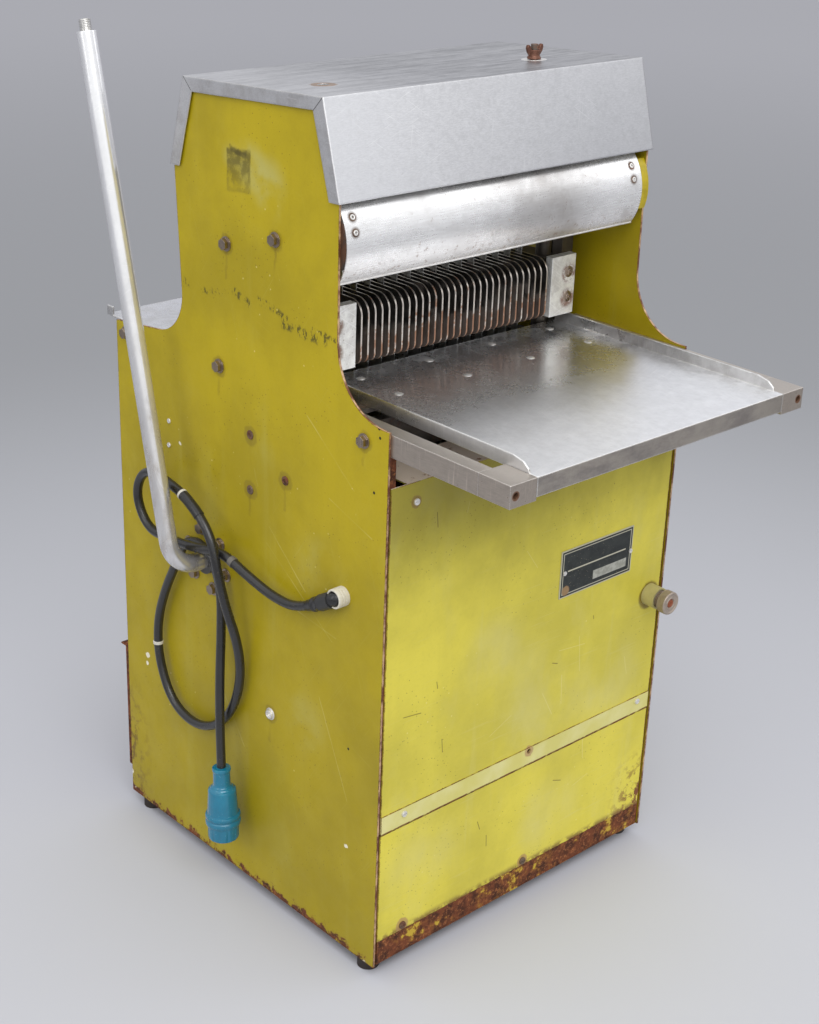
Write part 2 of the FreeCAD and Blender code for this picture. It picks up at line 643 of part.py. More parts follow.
def blade_hood():
    """The rolled hood over the mouth, and the two brackets that it is screwed to."""
    start = 180 + size("hood_low_angle") - size("hood_wrap")
    axis = Vector(1, 0, 0)
    base = corner() + Vector(size("hood_left"), size("hood_axis_place"), size("hood_axis_height"))
    outer = size("hood_radius")
    inner = outer - size("hood_gauge")
    points = []
    for radius in (outer, inner):
        row = []
        for part in (0, 0.5, 1):
            angle = math.radians(start + part * size("hood_wrap"))
            row.append(base + Vector(0, radius * math.cos(angle), radius * math.sin(angle)))
        points.append(row)
    edges = [
        Part.Arc(*points[0]).toShape(),
        Part.LineSegment(points[0][2], points[1][2]).toShape(),
        Part.Arc(*reversed(points[1])).toShape(),
        Part.LineSegment(points[1][0], points[0][0]).toShape(),
    ]
    face = Part.Face(Part.Wire(edges))
    shape_feature(face.extrude(axis * (size("hood_right") - size("hood_left"))), "blade_hood")

    brackets = []
    right = "case_width - side_gauge"
    spans = (("side_gauge", "hood_bracket_width"), ("hood_right - hood_bracket_width", None))
    for left, wide in spans:
        wide = wide or f"{right} - ({left})"
        deep = "hood_bracket_back - hood_axis_place + hood_radius"
        low = "hood_bracket_low"
        block = box(left, "hood_axis_place - hood_radius", low, wide, deep, "hood_bracket_tall")
        radius = "hood_radius - hood_gauge - slip_fit / 2"
        core = rod("X", left, "hood_axis_place", "hood_axis_height", radius, wide)
        common = doc.addObject("Part::MultiCommon", "Common")
        common.Shapes = [block, core]
        brackets.append(common)
    keep(gather(brackets), "hood_brackets")


# ---------------------------------------------------------------------------------------------
# Table
# ---------------------------------------------------------------------------------------------
def mirrored_left(left, wide):
    """The low X of a piece that mirrors one at left, about the middle of the case."""
    return f"case_width - ({left}) - ({wide})"


def table_arms():
    """A flat bar on each side that carries the table, and the drilled block at its front end."""
    left = "side_gauge + slip_fit"
    low = "table_height - arm_tall"
    arms = []
    blocks = []
    block_place = "-table_reach"
    arm_place = "-table_reach + block_depth"
    for start, wide in ((left, "arm_width"), (mirrored_left(left, "arm_width"), "arm_width")):
        arms.append(box(start, arm_place, low, wide, "arm_back + table_reach - block_depth", "arm_tall"))
    right = mirrored_left(left, "block_width")
    inset = f"{left} + block_hole_inset"
    for start, hole_x in ((left, inset), (right, f"case_width - ({inset})")):
        block = box(start, block_place, low, "block_width", "block_depth", "arm_tall")
        hole = rod("Y", hole_x, block_place, f"{low} + arm_tall / 2", "block_hole_radius",
                   "block_hole_depth")
        blocks.append(cut(block, [hole]))
    keep(gather(arms), "table_arms")
    keep(gather(blocks), "table_corner_blocks")


def front_tray():
    """The stainless table sheet: side edges turned up, front edge turned down."""
    body = new_body("front_tray")
    right = "case_width - tray_edge"
    top = "table_height"
    front = "-table_reach"
    sheet = outline(body, "XY_Plane", (
        ("tray_edge", front), (right, front), (right, "tray_back"), ("tray_edge", "tray_back"),
    ), f"{top} - table_gauge")
    pad(body, sheet, "table_gauge")
    fold = outline(body, "XY_Plane", (
        ("tray_edge", front), (right, front), (right, f"{front} + table_gauge"),
        ("tray_edge", f"{front} + table_gauge"),
    ), f"{top} - table_gauge - tray_fold")
    pad(body, fold, "tray_fold + table_gauge")
    low = f"{top} - table_gauge"
    rounded_start = f"{front} + tray_flange_start"
    for left in ("tray_edge", f"{right} - table_gauge"):
        flange = outline(body, "YZ_Plane", (
            (rounded_start, low), ("tray_back", low), ("tray_back", f"{top} + tray_flange"),
            (f"{rounded_start} + tray_flange_round", f"{top} + tray_flange"),
            (f"{rounded_start} + tray_flange_round * 0.4", f"{top} + tray_flange * 0.75"),
            (f"{rounded_start} + tray_flange_round * 0.1", f"{top} + tray_flange * 0.3"),
        ), left)
        pad(body, flange, "table_gauge")
    keep(body, "front_tray")


def tray_supports():
    """Two flat bars under the table sheet and the rivets through it."""
    left = "side_gauge + slip_fit + arm_width"
    wide = f"case_width - 2 * ({left})"
    low = "table_height - table_gauge - bearer_tall"
    bars = []
    for middle in ("bearer_front_place", "bearer_rear_place"):
        bars.append(box(left, f"{middle} - bearer_depth / 2", low, wide, "bearer_depth", "bearer_tall"))
    keep(gather(bars), "tray_bearers")
    rivet = dome_screw(size("rivet_radius"), size("rivet_rise"), size("rivet_radius") / 2, SEAT)
    rivets = []
    for row in (size("bearer_front_place"), size("bearer_rear_place")):
        for column in RIVET_COLUMNS:
            spot = corner() + Vector(size("case_width") / 2 + column, row, size("table_height") + SEAT)
            rivets.append(along(Vector(0, 0, 1), rivet, spot))
    shape_feature(Part.makeCompound(rivets), "tray_rivets")


def infeed_tray():
    """The stainless sheet behind the blades, slotted for the two posts of the comb."""
    low = "table_height - table_gauge"
    left = "side_gauge + slip_fit"
    wide = "case_width - 2 * side_gauge - 2 * slip_fit"
    sheet = box(left, "infeed_front", low, wide, "infeed_back - infeed_front", "table_gauge")
    lip_place = "infeed_back - infeed_lip_length"
    lips = []
    for start in (left, mirrored_left(left, "table_gauge")):
        lips.append(box(start, lip_place, low, "table_gauge", "infeed_lip_length",
                        "infeed_lip + table_gauge"))
    slots = []
    for side in ("-1", "1"):
        start = f"comb_centre + {side} * post_offset - slot_width / 2"
        reach = "post_place + comb_stroke + slot_width / 2"
        slots.append(box(start, "infeed_front - 1", f"{low} - 1", "slot_width",
                         f"{reach} - infeed_front + 1", "table_gauge + 2"))
    keep(cut(fuse([sheet, *lips]), slots), "rear_infeed_tray")


def slide_rails():
    """Two cross rails under the table and the pair of round guides between them."""
    front_wide = "case_width - 2 * side_gauge"
    rear_wide = "case_width - 2 * side_gauge - 2 * tube_side"
    front_tall = "table_height - arm_tall - rail_low"
    rear_tall = "table_height - table_gauge - rail_low"
    front = box("side_gauge", "rail_front_place", "rail_low", front_wide, "rail_depth", front_tall)
    rear = box("side_gauge + tube_side", "rail_rear_place", "rail_low", rear_wide, "rail_depth", rear_tall)
    keep(gather([front, rear]), "table_cross_rails")
    guides = []
    start = "rail_front_place + rail_depth"
    for side in ("-1", "1"):
        across = f"comb_centre + {side} * post_offset"
        guides.append(rod("Y", across, start, "guide_height", "guide_radius", f"rail_rear_place - ({start})"))
    keep(gather(guides), "carriage_guide_rods")


# ---------------------------------------------------------------------------------------------
# Comb
# ---------------------------------------------------------------------------------------------
def comb_plates():
    """The row of upright plates with rounded front corners."""
    body = new_body("comb_plates")
    body.AllowCompound = True
    top = "comb_low + comb_tall"
    back = "comb_front + plate_depth"
    sketch = outline(body, "YZ_Plane", (
        ("comb_front", "comb_low"), (back, "comb_low"), (back, top), ("comb_front", top),
    ))
    plate = pad(body, sketch, "plate_gauge")
    rounded = round_corners(body, plate, sketch, {0: "plate_low_round", 3: "plate_top_round"})
    pattern = body.newObject("PartDesign::LinearPattern", "comb_pattern")
    pattern.Originals = [feature for feature in body.Group if feature.isDerivedFrom("PartDesign::Feature")
                         and feature is not pattern]
    pattern.Direction = (origin_feature(body, "X_Axis"), [""])
    bind(pattern, Length="plate_pitch * (plate_count - 1)", Occurrences="plate_count")
    body.Tip = pattern
    row = "plate_pitch * (plate_count - 1) / 2"
    place(body, f"comb_centre - {row} - plate_gauge / 2", 0, 0)
    keep(body, "comb_plates")


def comb_frame():
    """What holds the plates: end plates, a welded yoke behind them, and the two posts it stands on."""
    plates = []
    arms = []
    posts = []
    top = "comb_low + comb_tall"
    arm_low = "comb_low + comb_tall / 2 - side_arm_tall / 2"
    arm_place = "comb_front + end_plate_gauge"
    arm_length = "plate_depth - end_plate_gauge"
    half = "(side_arm_width / 2 + side_arm_wall)"
    for side in ("-1", "1"):
        plate_left = (f"comb_centre + {side} * (end_plate_offset + end_plate_width / 2) "
                      "- end_plate_width / 2")
        plates.append(box(plate_left, "comb_front", "comb_low", "end_plate_width", "end_plate_gauge",
                          "comb_tall"))
        across = f"comb_centre + {side} * post_offset"
        arm = box(f"{across} - {half}", arm_place, arm_low, f"2 * ({half})", arm_length, "side_arm_tall")
        bore = rod("Z", across, "post_place", arm_low, "post_radius + running_fit", "side_arm_tall")
        arms.append(cut(arm, [bore]))
        posts.append(rod("Z", across, "post_place", "cheek_top", "post_radius", "post_top - cheek_top"))
    keep(gather(plates), "comb_end_plates")
    keep(gather(posts), "comb_posts")
    wide = f"2 * (post_offset + {half})"
    left = f"comb_centre - post_offset - {half}"
    beam = box(left, "comb_front + plate_depth", arm_low, wide, "beam_gauge", "side_arm_tall")
    keep(fuse([*arms, beam]), "comb_yoke")
    radius = size("comb_screw_radius")
    screw = dome_screw(radius, size("comb_screw_rise"), radius / 2, SEAT)
    spots = []
    for side in (-1, 1):
        for step in (0, 1):
            across = size("comb_centre") + side * size("post_offset")
            up = size("comb_low") + size("comb_screw_low") + step * size("comb_screw_step")
            spot = corner() + Vector(across, size("comb_front") - SEAT, up)
            spots.append(along(Vector(0, -1, 0), screw, spot))
    shape_feature(Part.makeCompound(spots), "comb_screws")


def comb_carriage():
    """The slide under the table: a cheek on each guide, a cross beam, and the two drive pins."""
    cheeks = []
    bores = []
    pins = []
    cheek_length = "cheek_back - cheek_front"
    for side in ("-1", "1"):
        across = f"comb_centre + {side} * post_offset"
        cheeks.append(box(f"{across} - side_arm_width / 2", "cheek_front", "cheek_low", "side_arm_width",
                          cheek_length, "cheek_top - cheek_low"))
        bores.append(rod("Y", across, "cheek_front - 1", "guide_height", "guide_radius + running_fit",
                         f"{cheek_length} + 2"))
    left = "comb_centre - post_offset + side_arm_width / 2"
    wide = "2 * post_offset - side_arm_width"
    beam = box(left, "cheek_back - cross_beam_depth", "cheek_top - cross_beam_tall", wide,
               "cross_beam_depth", "cross_beam_tall")
    pins.append(rod("X", left, "drive_pin_place", "drive_pin_height", "drive_pin_radius",
                    "drive_pin_length"))
    right = "comb_centre + post_offset - side_arm_width / 2 - drive_pin_length"
    pins.append(rod("X", right, "drive_pin_place", "drive_pin_height", "drive_pin_radius",
                    "drive_pin_length"))
    keep(cut(fuse([*cheeks, beam]), bores), "comb_carriage")
    keep(gather(pins), "carriage_drive_pins")


# ---------------------------------------------------------------------------------------------
# Lever and shaft
# ---------------------------------------------------------------------------------------------
def lever_direction():
    """The way the lever points at rest, leaning back from upright."""
    lean = math.radians(size("lever_lean"))
    return Vector(0, math.sin(lean), math.cos(lean))


def lever_path():
    """The lever's middle line: a short stub along the shaft, one bend, and the long straight arm."""
    pivot = corner() + Vector(0, size("shaft_place"), size("shaft_height"))
    out = Vector(-1, 0, 0)
    up = lever_direction()
    bend = size("lever_bend")
    stub_start = pivot + out * (size("boss_out") + size("slip_fit"))
    stub_end = pivot + out * (size("lever_offset") - bend)
    arm_start = pivot + out * size("lever_offset") + up * bend
    arm_end = pivot + out * size("lever_offset") + up * size("lever_length")
    slant = bend * (1 - math.sqrt(0.5))
    middle = pivot + out * (size("lever_offset") - slant) + up * slant
    return Part.Wire([
        Part.LineSegment(stub_start, stub_end).toShape(),
        Part.Arc(stub_end, middle, arm_start).toShape(),
        Part.LineSegment(arm_start, arm_end).toShape(),
    ])


def lever():
    """The bent tube and the threaded stud in its upper end."""
    path = lever_path()
    start = path.Vertexes[0].Point
    tubes = []
    for radius in (size("lever_radius"), size("lever_bore")):
        ring = Part.Wire(Part.makeCircle(radius, start, Vector(-1, 0, 0)))
        tubes.append(path.makePipeShell([ring], True, True))
    shape_feature(tubes[0].cut(tubes[1]), "lever")
    up = lever_direction()
    top = path.Vertexes[-1].Point
    shank = size("stud_shank")
    stud = Part.makeCylinder(size("lever_bore") - size("running_fit"), shank, top - up * shank, up)
    thread = Part.makeCylinder(size("stud_radius"), size("stud_length"), top, up)
    shape_feature(stud.fuse(thread), "lever_stud")


def shaft_bearing(side):
    """A flanged bearing inside one side sheet, with a boss that comes through it."""
    outward = "boss_out" if side == "left" else "2"
    if side == "left":
        flange_left = "side_gauge"
        boss_left = f"-({outward})"
    else:
        flange_left = "case_width - side_gauge - bearing_gauge"
        boss_left = "case_width - side_gauge - boss_in"
    boss_length = f"{outward} + side_gauge + boss_in"
    flange = rod("X", flange_left, "shaft_place", "shaft_height", "bearing_flange", "bearing_gauge")
    boss = rod("X", boss_left, "shaft_place", "shaft_height", "boss_radius", boss_length)
    tools = [rod("X", f"{boss_left} - 1", "shaft_place", "shaft_height", "shaft_radius + running_fit",
                 f"{boss_length} + 2")]
    for across, up in bearing_bolt_places():
        tools.append(rod("X", f"{flange_left} - 1", across, up, "bolt_radius + slip_fit",
                         "bearing_gauge + 2"))
    return cut(fuse([flange, boss]), tools)


def drive_arm(left):
    """A slotted arm on the shaft that moves one drive pin of the comb's slide."""
    here = place_locally
    hub = rod("X", "0", "0", "0", "drive_hub", "drive_arm_gauge", here)
    bar = box("0", "-drive_arm_width / 2", "0", "drive_arm_gauge", "drive_arm_width",
              "drive_head_start + 2", here)
    head = box("0", "-drive_head_width / 2", "drive_head_start", "drive_arm_gauge", "drive_head_width",
               "drive_arm_reach - drive_head_start", here)
    bore = rod("X", "-1", "0", "0", "shaft_radius + running_fit / 2", "drive_arm_gauge + 2", here)
    slot = box("-1", "-drive_slot_width / 2", "drive_slot_start", "drive_arm_gauge + 2",
               "drive_slot_width", "drive_slot_end - drive_slot_start", here)
    arm = cut(fuse([hub, bar, head]), [bore, slot])
    back = size("shaft_place") - size("drive_pin_place")
    rise = size("drive_pin_height") - size("shaft_height")
    turn = Rotation(Vector(1, 0, 0), math.degrees(math.atan2(back, rise)))
    arm.Placement = Placement(Vector(), turn)
    return place(arm, left, "shaft_place", "shaft_height")


def lever_shaft():
    """The cross shaft, its two bearings and the two drive arms."""
    left = "-(lever_offset - lever_bend)"
    length = "case_width + 1 + lever_offset - lever_bend"
    keep(rod("X", left, "shaft_place", "shaft_height", "shaft_radius", length), "lever_shaft")
    keep(gather([shaft_bearing("left"), shaft_bearing("right")]), "shaft_bearings")
    edge = "post_offset - side_arm_width / 2 - drive_arm_gap"
    arms = [
        drive_arm(f"comb_centre - ({edge})"),
        drive_arm(f"comb_centre + {edge} - drive_arm_gauge"),
    ]
    keep(gather(arms), "drive_arms")


# ---------------------------------------------------------------------------------------------
# Blade frames and crank drive
# ---------------------------------------------------------------------------------------------
FRAME_PLACE = {"front": "crank_place - crank_throw", "rear": "crank_place + crank_throw"}


def blade_frame(name):
    """A welded frame whose hollow side bars slide on two round rods."""
    middle = FRAME_PLACE[name]
    start = f"{middle} - frame_gauge / 2"
    wide = "case_width - 2 * frame_left"
    right = "case_width - frame_left - frame_side"
    tall = "frame_top - frame_low"
    pieces = [
        box("frame_left", start, "frame_low", wide, "frame_gauge", "frame_bar"),
        box("frame_left", start, "frame_top - frame_bar", wide, "frame_gauge", "frame_bar"),
        box("frame_left", start, "frame_low", "frame_side", "frame_gauge", tall),
        box(right, start, "frame_low", "frame_side", "frame_gauge", tall),
    ]
    bores = []
    for left in ("frame_left", right):
        bores.append(rod("Z", f"{left} + frame_side / 2", middle, "frame_low - 1",
                         "blade_rod_radius + running_fit", f"{tall} + 2"))
    keep(cut(fuse(pieces), bores), f"{name}_blade_frame")


def blades(name, first):
    """Every second blade, each in the middle of a gap of the comb."""
    middle = FRAME_PLACE[name]
    row = "plate_pitch * (plate_count - 1) / 2"
    strips = []
    for number in range(first, int(size("plate_count")) - 1, 2):
        left = f"comb_centre - {row} + plate_pitch * {number + 0.5} - blade_gauge / 2"
        strips.append(box(left, f"{middle} - blade_depth / 2", "frame_low + frame_bar", "blade_gauge",
                          "blade_depth", "frame_top - frame_low - 2 * frame_bar"))
    keep(gather(strips), f"{name}_blades")


def blade_guides():
    """The four upright rods that the frames slide on, and the brackets at their ends."""
    low = "frame_low - crank_throw - bracket_clear"
    high = "frame_top + crank_throw + bracket_head"
    rods = []
    for place_text in FRAME_PLACE.values():
        for across in ("frame_left + frame_side / 2", "case_width - frame_left - frame_side / 2"):
            rods.append(rod("Z", across, place_text, low, "blade_rod_radius", f"{high} - ({low})"))
    keep(gather(rods), "blade_guide_rods")
    wide = "frame_left + frame_side - side_gauge"
    brackets = []
    for start in ("side_gauge", mirrored_left("side_gauge", wide)):
        for bottom in (f"{low} - bracket_tall", high):
            brackets.append(box(start, "bracket_front", bottom, wide, "bracket_depth", "bracket_tall"))
    keep(gather(brackets), "guide_rod_brackets")


def throw_places():
    """Where the middles of the four crank throws lie, with the frame that each one drives."""
    return (
        ("throw_outer", "front"), ("throw_outer + throw_step", "rear"),
        ("case_width - throw_outer - throw_step", "rear"), ("case_width - throw_outer", "front"),
    )


def crankshaft():
    """A built-up shaft: plain journals, round webs and two pairs of opposed crank pins."""
    inner_edge = "throw_outer + throw_step + crank_pin_length / 2 + web_gauge"
    outer_edge = "throw_outer - crank_pin_length / 2 - web_gauge"
    pieces = [
        rod("X", "crank_end", "crank_place", "crank_height", "crank_radius", f"{outer_edge} - crank_end"),
        rod("X", inner_edge, "crank_place", "crank_height", "crank_radius",
            f"case_width - 2 * ({inner_edge})"),
        rod("X", f"case_width - ({outer_edge})", "crank_place", "crank_height", "crank_radius",
            f"{outer_edge} - crank_end"),
    ]
    for middle, frame in throw_places():
        start = f"{middle} - crank_pin_length / 2"
        pieces.append(rod("X", start, FRAME_PLACE[frame], "crank_height", "crank_pin_radius",
                          "crank_pin_length"))
        for left in (f"{start} - web_gauge", f"{middle} + crank_pin_length / 2"):
            pieces.append(rod("X", left, "crank_place", "crank_height", "crank_web_radius", "web_gauge"))
    keep(fuse(pieces), "crankshaft")
    bearings = []
    for side in ("left", "right"):
        flange_left = "side_gauge" if side == "left" else "case_width - side_gauge - bearing_gauge"
        hub_left = "side_gauge" if side == "left" else "case_width - side_gauge - crank_hub_depth"
        flange = rod("X", flange_left, "crank_place", "crank_height", "crank_flange", "bearing_gauge")
        hub = rod("X", hub_left, "crank_place", "crank_height", "crank_hub", "crank_hub_depth")
        bore = rod("X", f"{hub_left} - 1", "crank_place", "crank_height", "crank_radius + running_fit",
                   "crank_hub_depth + 2")
        bearings.append(cut(fuse([flange, hub]), [bore]))
    keep(gather(bearings), "crank_bearings")


def connecting_rods(name):
    """The pair of rods that hang from one blade frame, each with an eye around its crank pin."""
    middle = FRAME_PLACE[name]
    rods = []
    for across, frame in throw_places():
        if frame != name:
            continue
        left = f"{across} - rod_gauge / 2"
        stem_low = "crank_height + rod_eye_bore + rod_root"
        stem = box(left, f"{middle} - rod_width / 2", stem_low, "rod_gauge", "rod_width",
                   f"frame_low - ({stem_low})")
        eye = rod("X", left, middle, "crank_height", "rod_eye_radius", "rod_gauge")
        bore = rod("X", f"{left} - 1", middle, "crank_height", "rod_eye_bore", "rod_gauge + 2")
        rods.append(cut(fuse([stem, eye]), [bore]))
    keep(gather(rods), f"{name}_connecting_rods")


def grooved_pulley(label, place_text, height_text, radius, bore):
    """A belt pulley with one groove and a bore for its shaft."""
    disc = rod("X", "pulley_place", place_text, height_text, radius, "pulley_width")
    groove_left = "pulley_place + pulley_width / 2 - belt_width / 2 - belt_clear"
    groove_wide = "belt_width + 2 * belt_clear"
    blank = rod("X", groove_left, place_text, height_text, f"{radius} + 1", groove_wide)
    root = rod("X", groove_left, place_text, height_text, f"{radius} - belt_sunk - belt_tall - belt_clear",
               groove_wide)
    hole = rod("X", "pulley_place - 1", place_text, height_text, bore, "pulley_width + 2")
    keep(cut(disc, [cut(blank, [root]), hole]), label)


def belt_outline(radius_drop):
    """A closed face round both pulleys, drawn in from their rims by a distance."""
    crank = corner() + Vector(0, size("crank_place"), size("crank_height"))
    motor = corner() + Vector(0, size("motor_place"), size("motor_height"))
    big = size("crank_pulley_radius") - radius_drop
    small = size("motor_pulley_radius") - radius_drop
    line = motor - crank
    angle = math.atan2(line.z, line.y)
    spread = math.acos((big - small) / line.Length)

    def rim(centre, radius, turn):
        return centre + Vector(0, radius * math.cos(turn), radius * math.sin(turn))

    upper = [rim(crank, big, angle + spread), rim(motor, small, angle + spread)]
    lower = [rim(crank, big, angle - spread), rim(motor, small, angle - spread)]
    edges = [
        Part.LineSegment(upper[0], upper[1]).toShape(),
        Part.Arc(upper[1], rim(motor, small, angle), lower[1]).toShape(),
        Part.LineSegment(lower[1], lower[0]).toShape(),
        Part.Arc(lower[0], rim(crank, big, angle + math.pi), upper[0]).toShape(),
    ]
    return Part.Face(Part.Wire(edges))


def drive_belt():
    """The belt: a closed band in the grooves of both pulleys."""
    sunk = size("belt_sunk")
    thick = Vector(size("belt_width"), 0, 0)
    outer = belt_outline(sunk).extrude(thick)
    inner = belt_outline(sunk + size("belt_tall")).extrude(thick)
    band = outer.cut(inner)
    start = size("pulley_place") + size("pulley_width") / 2 - size("belt_width") / 2
    band.translate(Vector(start, 0, 0))
    shape_feature(band, "drive_belt")


def motor():
    """The motor on its plate, with the shaft and pulley that it turns."""
    base = "foot_rise + tube_side"
    keep(box("motor_plate_left", "motor_plate_front", base, "motor_plate_length", "motor_plate_depth",
             "motor_plate_gauge"), "motor_plate")
    barrel = rod("X", "motor_left", "motor_place", "motor_height", "motor_radius", "motor_length")
    nose = rod("X", "motor_left - motor_nose", "motor_place", "motor_height", "motor_nose_radius",
               "motor_nose")
    low = f"{base} + motor_plate_gauge"
    pieces = [barrel, nose]
    for part in ("0.15", "0.85"):
        left = f"motor_left + motor_length * {part} - motor_foot_width / 2"
        pieces.append(box(left, "motor_place - motor_foot_depth / 2", low, "motor_foot_width",
                          "motor_foot_depth", f"motor_height - motor_radius * 0.6 - ({low})"))
    pieces.append(box("motor_left + motor_length / 2 - motor_box_length / 2",
                      "motor_place - motor_box_depth / 2", "motor_height", "motor_box_length",
                      "motor_box_depth", "motor_radius + motor_box_rise"))
    bore = rod("X", "motor_left - motor_nose - 1", "motor_place", "motor_height",
               "motor_shaft_radius + running_fit", "motor_shaft_depth + motor_nose + 1")
    keep(cut(fuse(pieces), [bore]), "motor")
    keep(rod("X", "pulley_place - 2", "motor_place", "motor_height", "motor_shaft_radius",
             "motor_left + motor_shaft_depth - 1 - pulley_place + 2"), "motor_shaft")


# ---------------------------------------------------------------------------------------------
# Name plate, switch, gland, cord and plug
# ---------------------------------------------------------------------------------------------
def label_plate():
    """The blank plate on the front sheet."""
    keep(box("label_left", "front_recess - label_gauge", "label_low", "label_width", "label_gauge",
             "label_tall"), "blank_nameplate")


def push_switch():
    """The push knob in its painted collar, and the contact block behind the front sheet."""
    collar = rod("Y", "knob_x", "front_recess - collar_length", "knob_height", "collar_radius",
                 "collar_length")
    well = rod("Y", "knob_x", "front_recess - collar_length - 1", "knob_height", "knob_radius + slip_fit",
               "collar_length + 2")
    keep(cut(collar, [well]), "switch_collar")
    plunger = rod("Y", "knob_x", "-knob_front", "knob_height", "knob_radius", "knob_front - knob_back")
    head = rod("Y", "knob_x", "-knob_front", "knob_height", "knob_head_radius", "knob_front - knob_head_back")
    stem = rod("Y", "knob_x", "-knob_back", "knob_height", "knob_stem_radius", "knob_back + knob_stem_end")
    keep(fuse([plunger, head, stem]), "switch_knob")
    back = "front_recess + front_gauge"
    block = box("knob_x - switch_width / 2", back, "knob_height - switch_tall / 2", "switch_width",
                "switch_depth", "switch_tall")
    bore = rod("Y", "knob_x", back, "knob_height", "knob_stem_radius + slip_fit", "switch_bore_depth")
    keep(cut(block, [bore]), "switch_block")


def gland_direction():
    """The way the cord leaves the gland: back and down along the side sheet."""
    angle = math.radians(size("gland_angle"))
    return Vector(0, math.cos(angle), -math.sin(angle))


def cable_gland():
    """A pale gland with an elbow in its mouth, and the dark nut that grips the cord."""
    out = size("gland_out")
    start = corner() + Vector(0, size("gland_place"), size("gland_height"))
    side = Vector(-1, 0, 0)
    elbow = start + side * out
    way = gland_direction()
    nut_start = size("gland_nut_start")
    collar = Part.makeCylinder(size("gland_radius"), size("gland_collar"), start, side)
    dome = Part.makeSphere(size("gland_elbow_radius"), elbow)
    neck = Part.makeCylinder(size("gland_nut_radius") - 1, nut_start, elbow, way)
    tail = Part.makeCylinder(size("gland_tail_radius"), size("gland_tail"), start, side * -1)
    shell = collar.fuse([dome, neck, tail])
    nut_length = size("gland_nut_end") - nut_start
    nut = Part.makeCylinder(size("gland_nut_radius"), nut_length, elbow + way * nut_start, way)
    shape_feature(shell.cut(nut), "cable_gland")
    shape_feature(nut.cut(dome.fuse(collar)), "gland_nut")


def cord_tube():
    """The cord as straight runs joined by tangent arcs, with each radius printed."""
    elbow = corner() + Vector(-size("gland_out"), size("gland_place"), size("gland_height"))
    mouth = elbow + gland_direction() * size("gland_nut_end")
    points = [mouth, mouth + gland_direction() * size("cord_first_run")]
    points += [corner() + Vector(*point) for point in CORD_ROUTE]
    runs = [(following - point).Length for point, following in zip(points, points[1:])]
    edges = []
    length = 0.0
    last = points[0]
    for index in range(1, len(points) - 1):
        before = (points[index] - points[index - 1]).normalize()
        after = (points[index + 1] - points[index]).normalize()
        turn = before.getAngle(after)
        trim = 0.45 * min(runs[index - 1], runs[index])
        radius = trim / math.tan(turn / 2)
        start = points[index] - before * trim
        end = points[index] + after * trim
        bisector = (after - before).normalize()
        middle = points[index] + bisector * (radius / math.cos(turn / 2) - radius)
        edges.append(Part.LineSegment(last, start).toShape())
        edges.append(Part.Arc(start, middle, end).toShape())
        length += (start - last).Length + radius * turn
        last = end
        print(f"cord bend {index}: radius {radius:.1f}, turn {math.degrees(turn):.0f} degrees")
    edges.append(Part.LineSegment(last, points[-1]).toShape())
    length += (points[-1] - last).Length
    wire = Part.Wire(edges)
    way = (points[1] - points[0]).normalize()
    ring = Part.Wire(Part.makeCircle(size("cord_radius"), points[0], way))
    tube = wire.makePipeShell([ring], True, False)
    section = math.pi * size("cord_radius") ** 2
    print(f"cord length {length:.1f}, volume over section times length {tube.Volume / section / length:.4f}")
    shape_feature(tube, "power_cord")
    return points[-1], (points[-1] - points[-2]).normalize()


def mains_plug(top, way):
    """The round plug at the cord's end, turned about the cord's last stretch."""
    reach = size("plug_length")
    neck = size("plug_neck_radius")
    wide = size("plug_radius")
    profile = (
        (0, 0), (neck, 0), (neck, 0.10 * reach), (neck - 1, 0.12 * reach), (neck - 1, 0.26 * reach),
        (wide - 4, 0.36 * reach), (wide - 3, 0.62 * reach), (wide, 0.64 * reach), (wide, 0.80 * reach),
        (wide - 3, 0.82 * reach), (wide - 5, reach), (0, reach),
    )
    points = [Vector(radius, 0, height) for radius, height in profile]
    face = Part.Face(Part.makePolygon([*points, points[0]]))
    plug = face.revolve(Vector(), Vector(0, 0, 1), 360)
    shape_feature(along(way, plug, top), "mains_plug")


# ---------------------------------------------------------------------------------------------
# Fasteners
# ---------------------------------------------------------------------------------------------
def case_bolts():
    """The hexagon bolts in both side sheets: those of the bearings and those of the frame."""
    lean = size("shaft_place"), size("shaft_height")
    circle = size("bearing_circle")
    bearing = hex_bolt(size("side_gauge") + size("bearing_gauge"), True)
    plain = hex_bolt(size("side_gauge"), False)
    bolts = []
    for side in (-1, 1):
        across = 0 if side < 0 else size("case_width")
        way = Vector(side, 0, 0)
        for step in range(6):
            angle = math.radians(13 + 60 * step)
            spot = Vector(across, lean[0] + circle * math.cos(angle), lean[1] + circle * math.sin(angle))
            bolts.append(along(way, bearing, corner() + spot))
        for back, rise in HEX_BOLTS:
            spot = Vector(across, back, size("table_height") + rise)
            bolts.append(along(way, plain, corner() + spot))
    shape_feature(Part.makeCompound(bolts), "hex_bolts")


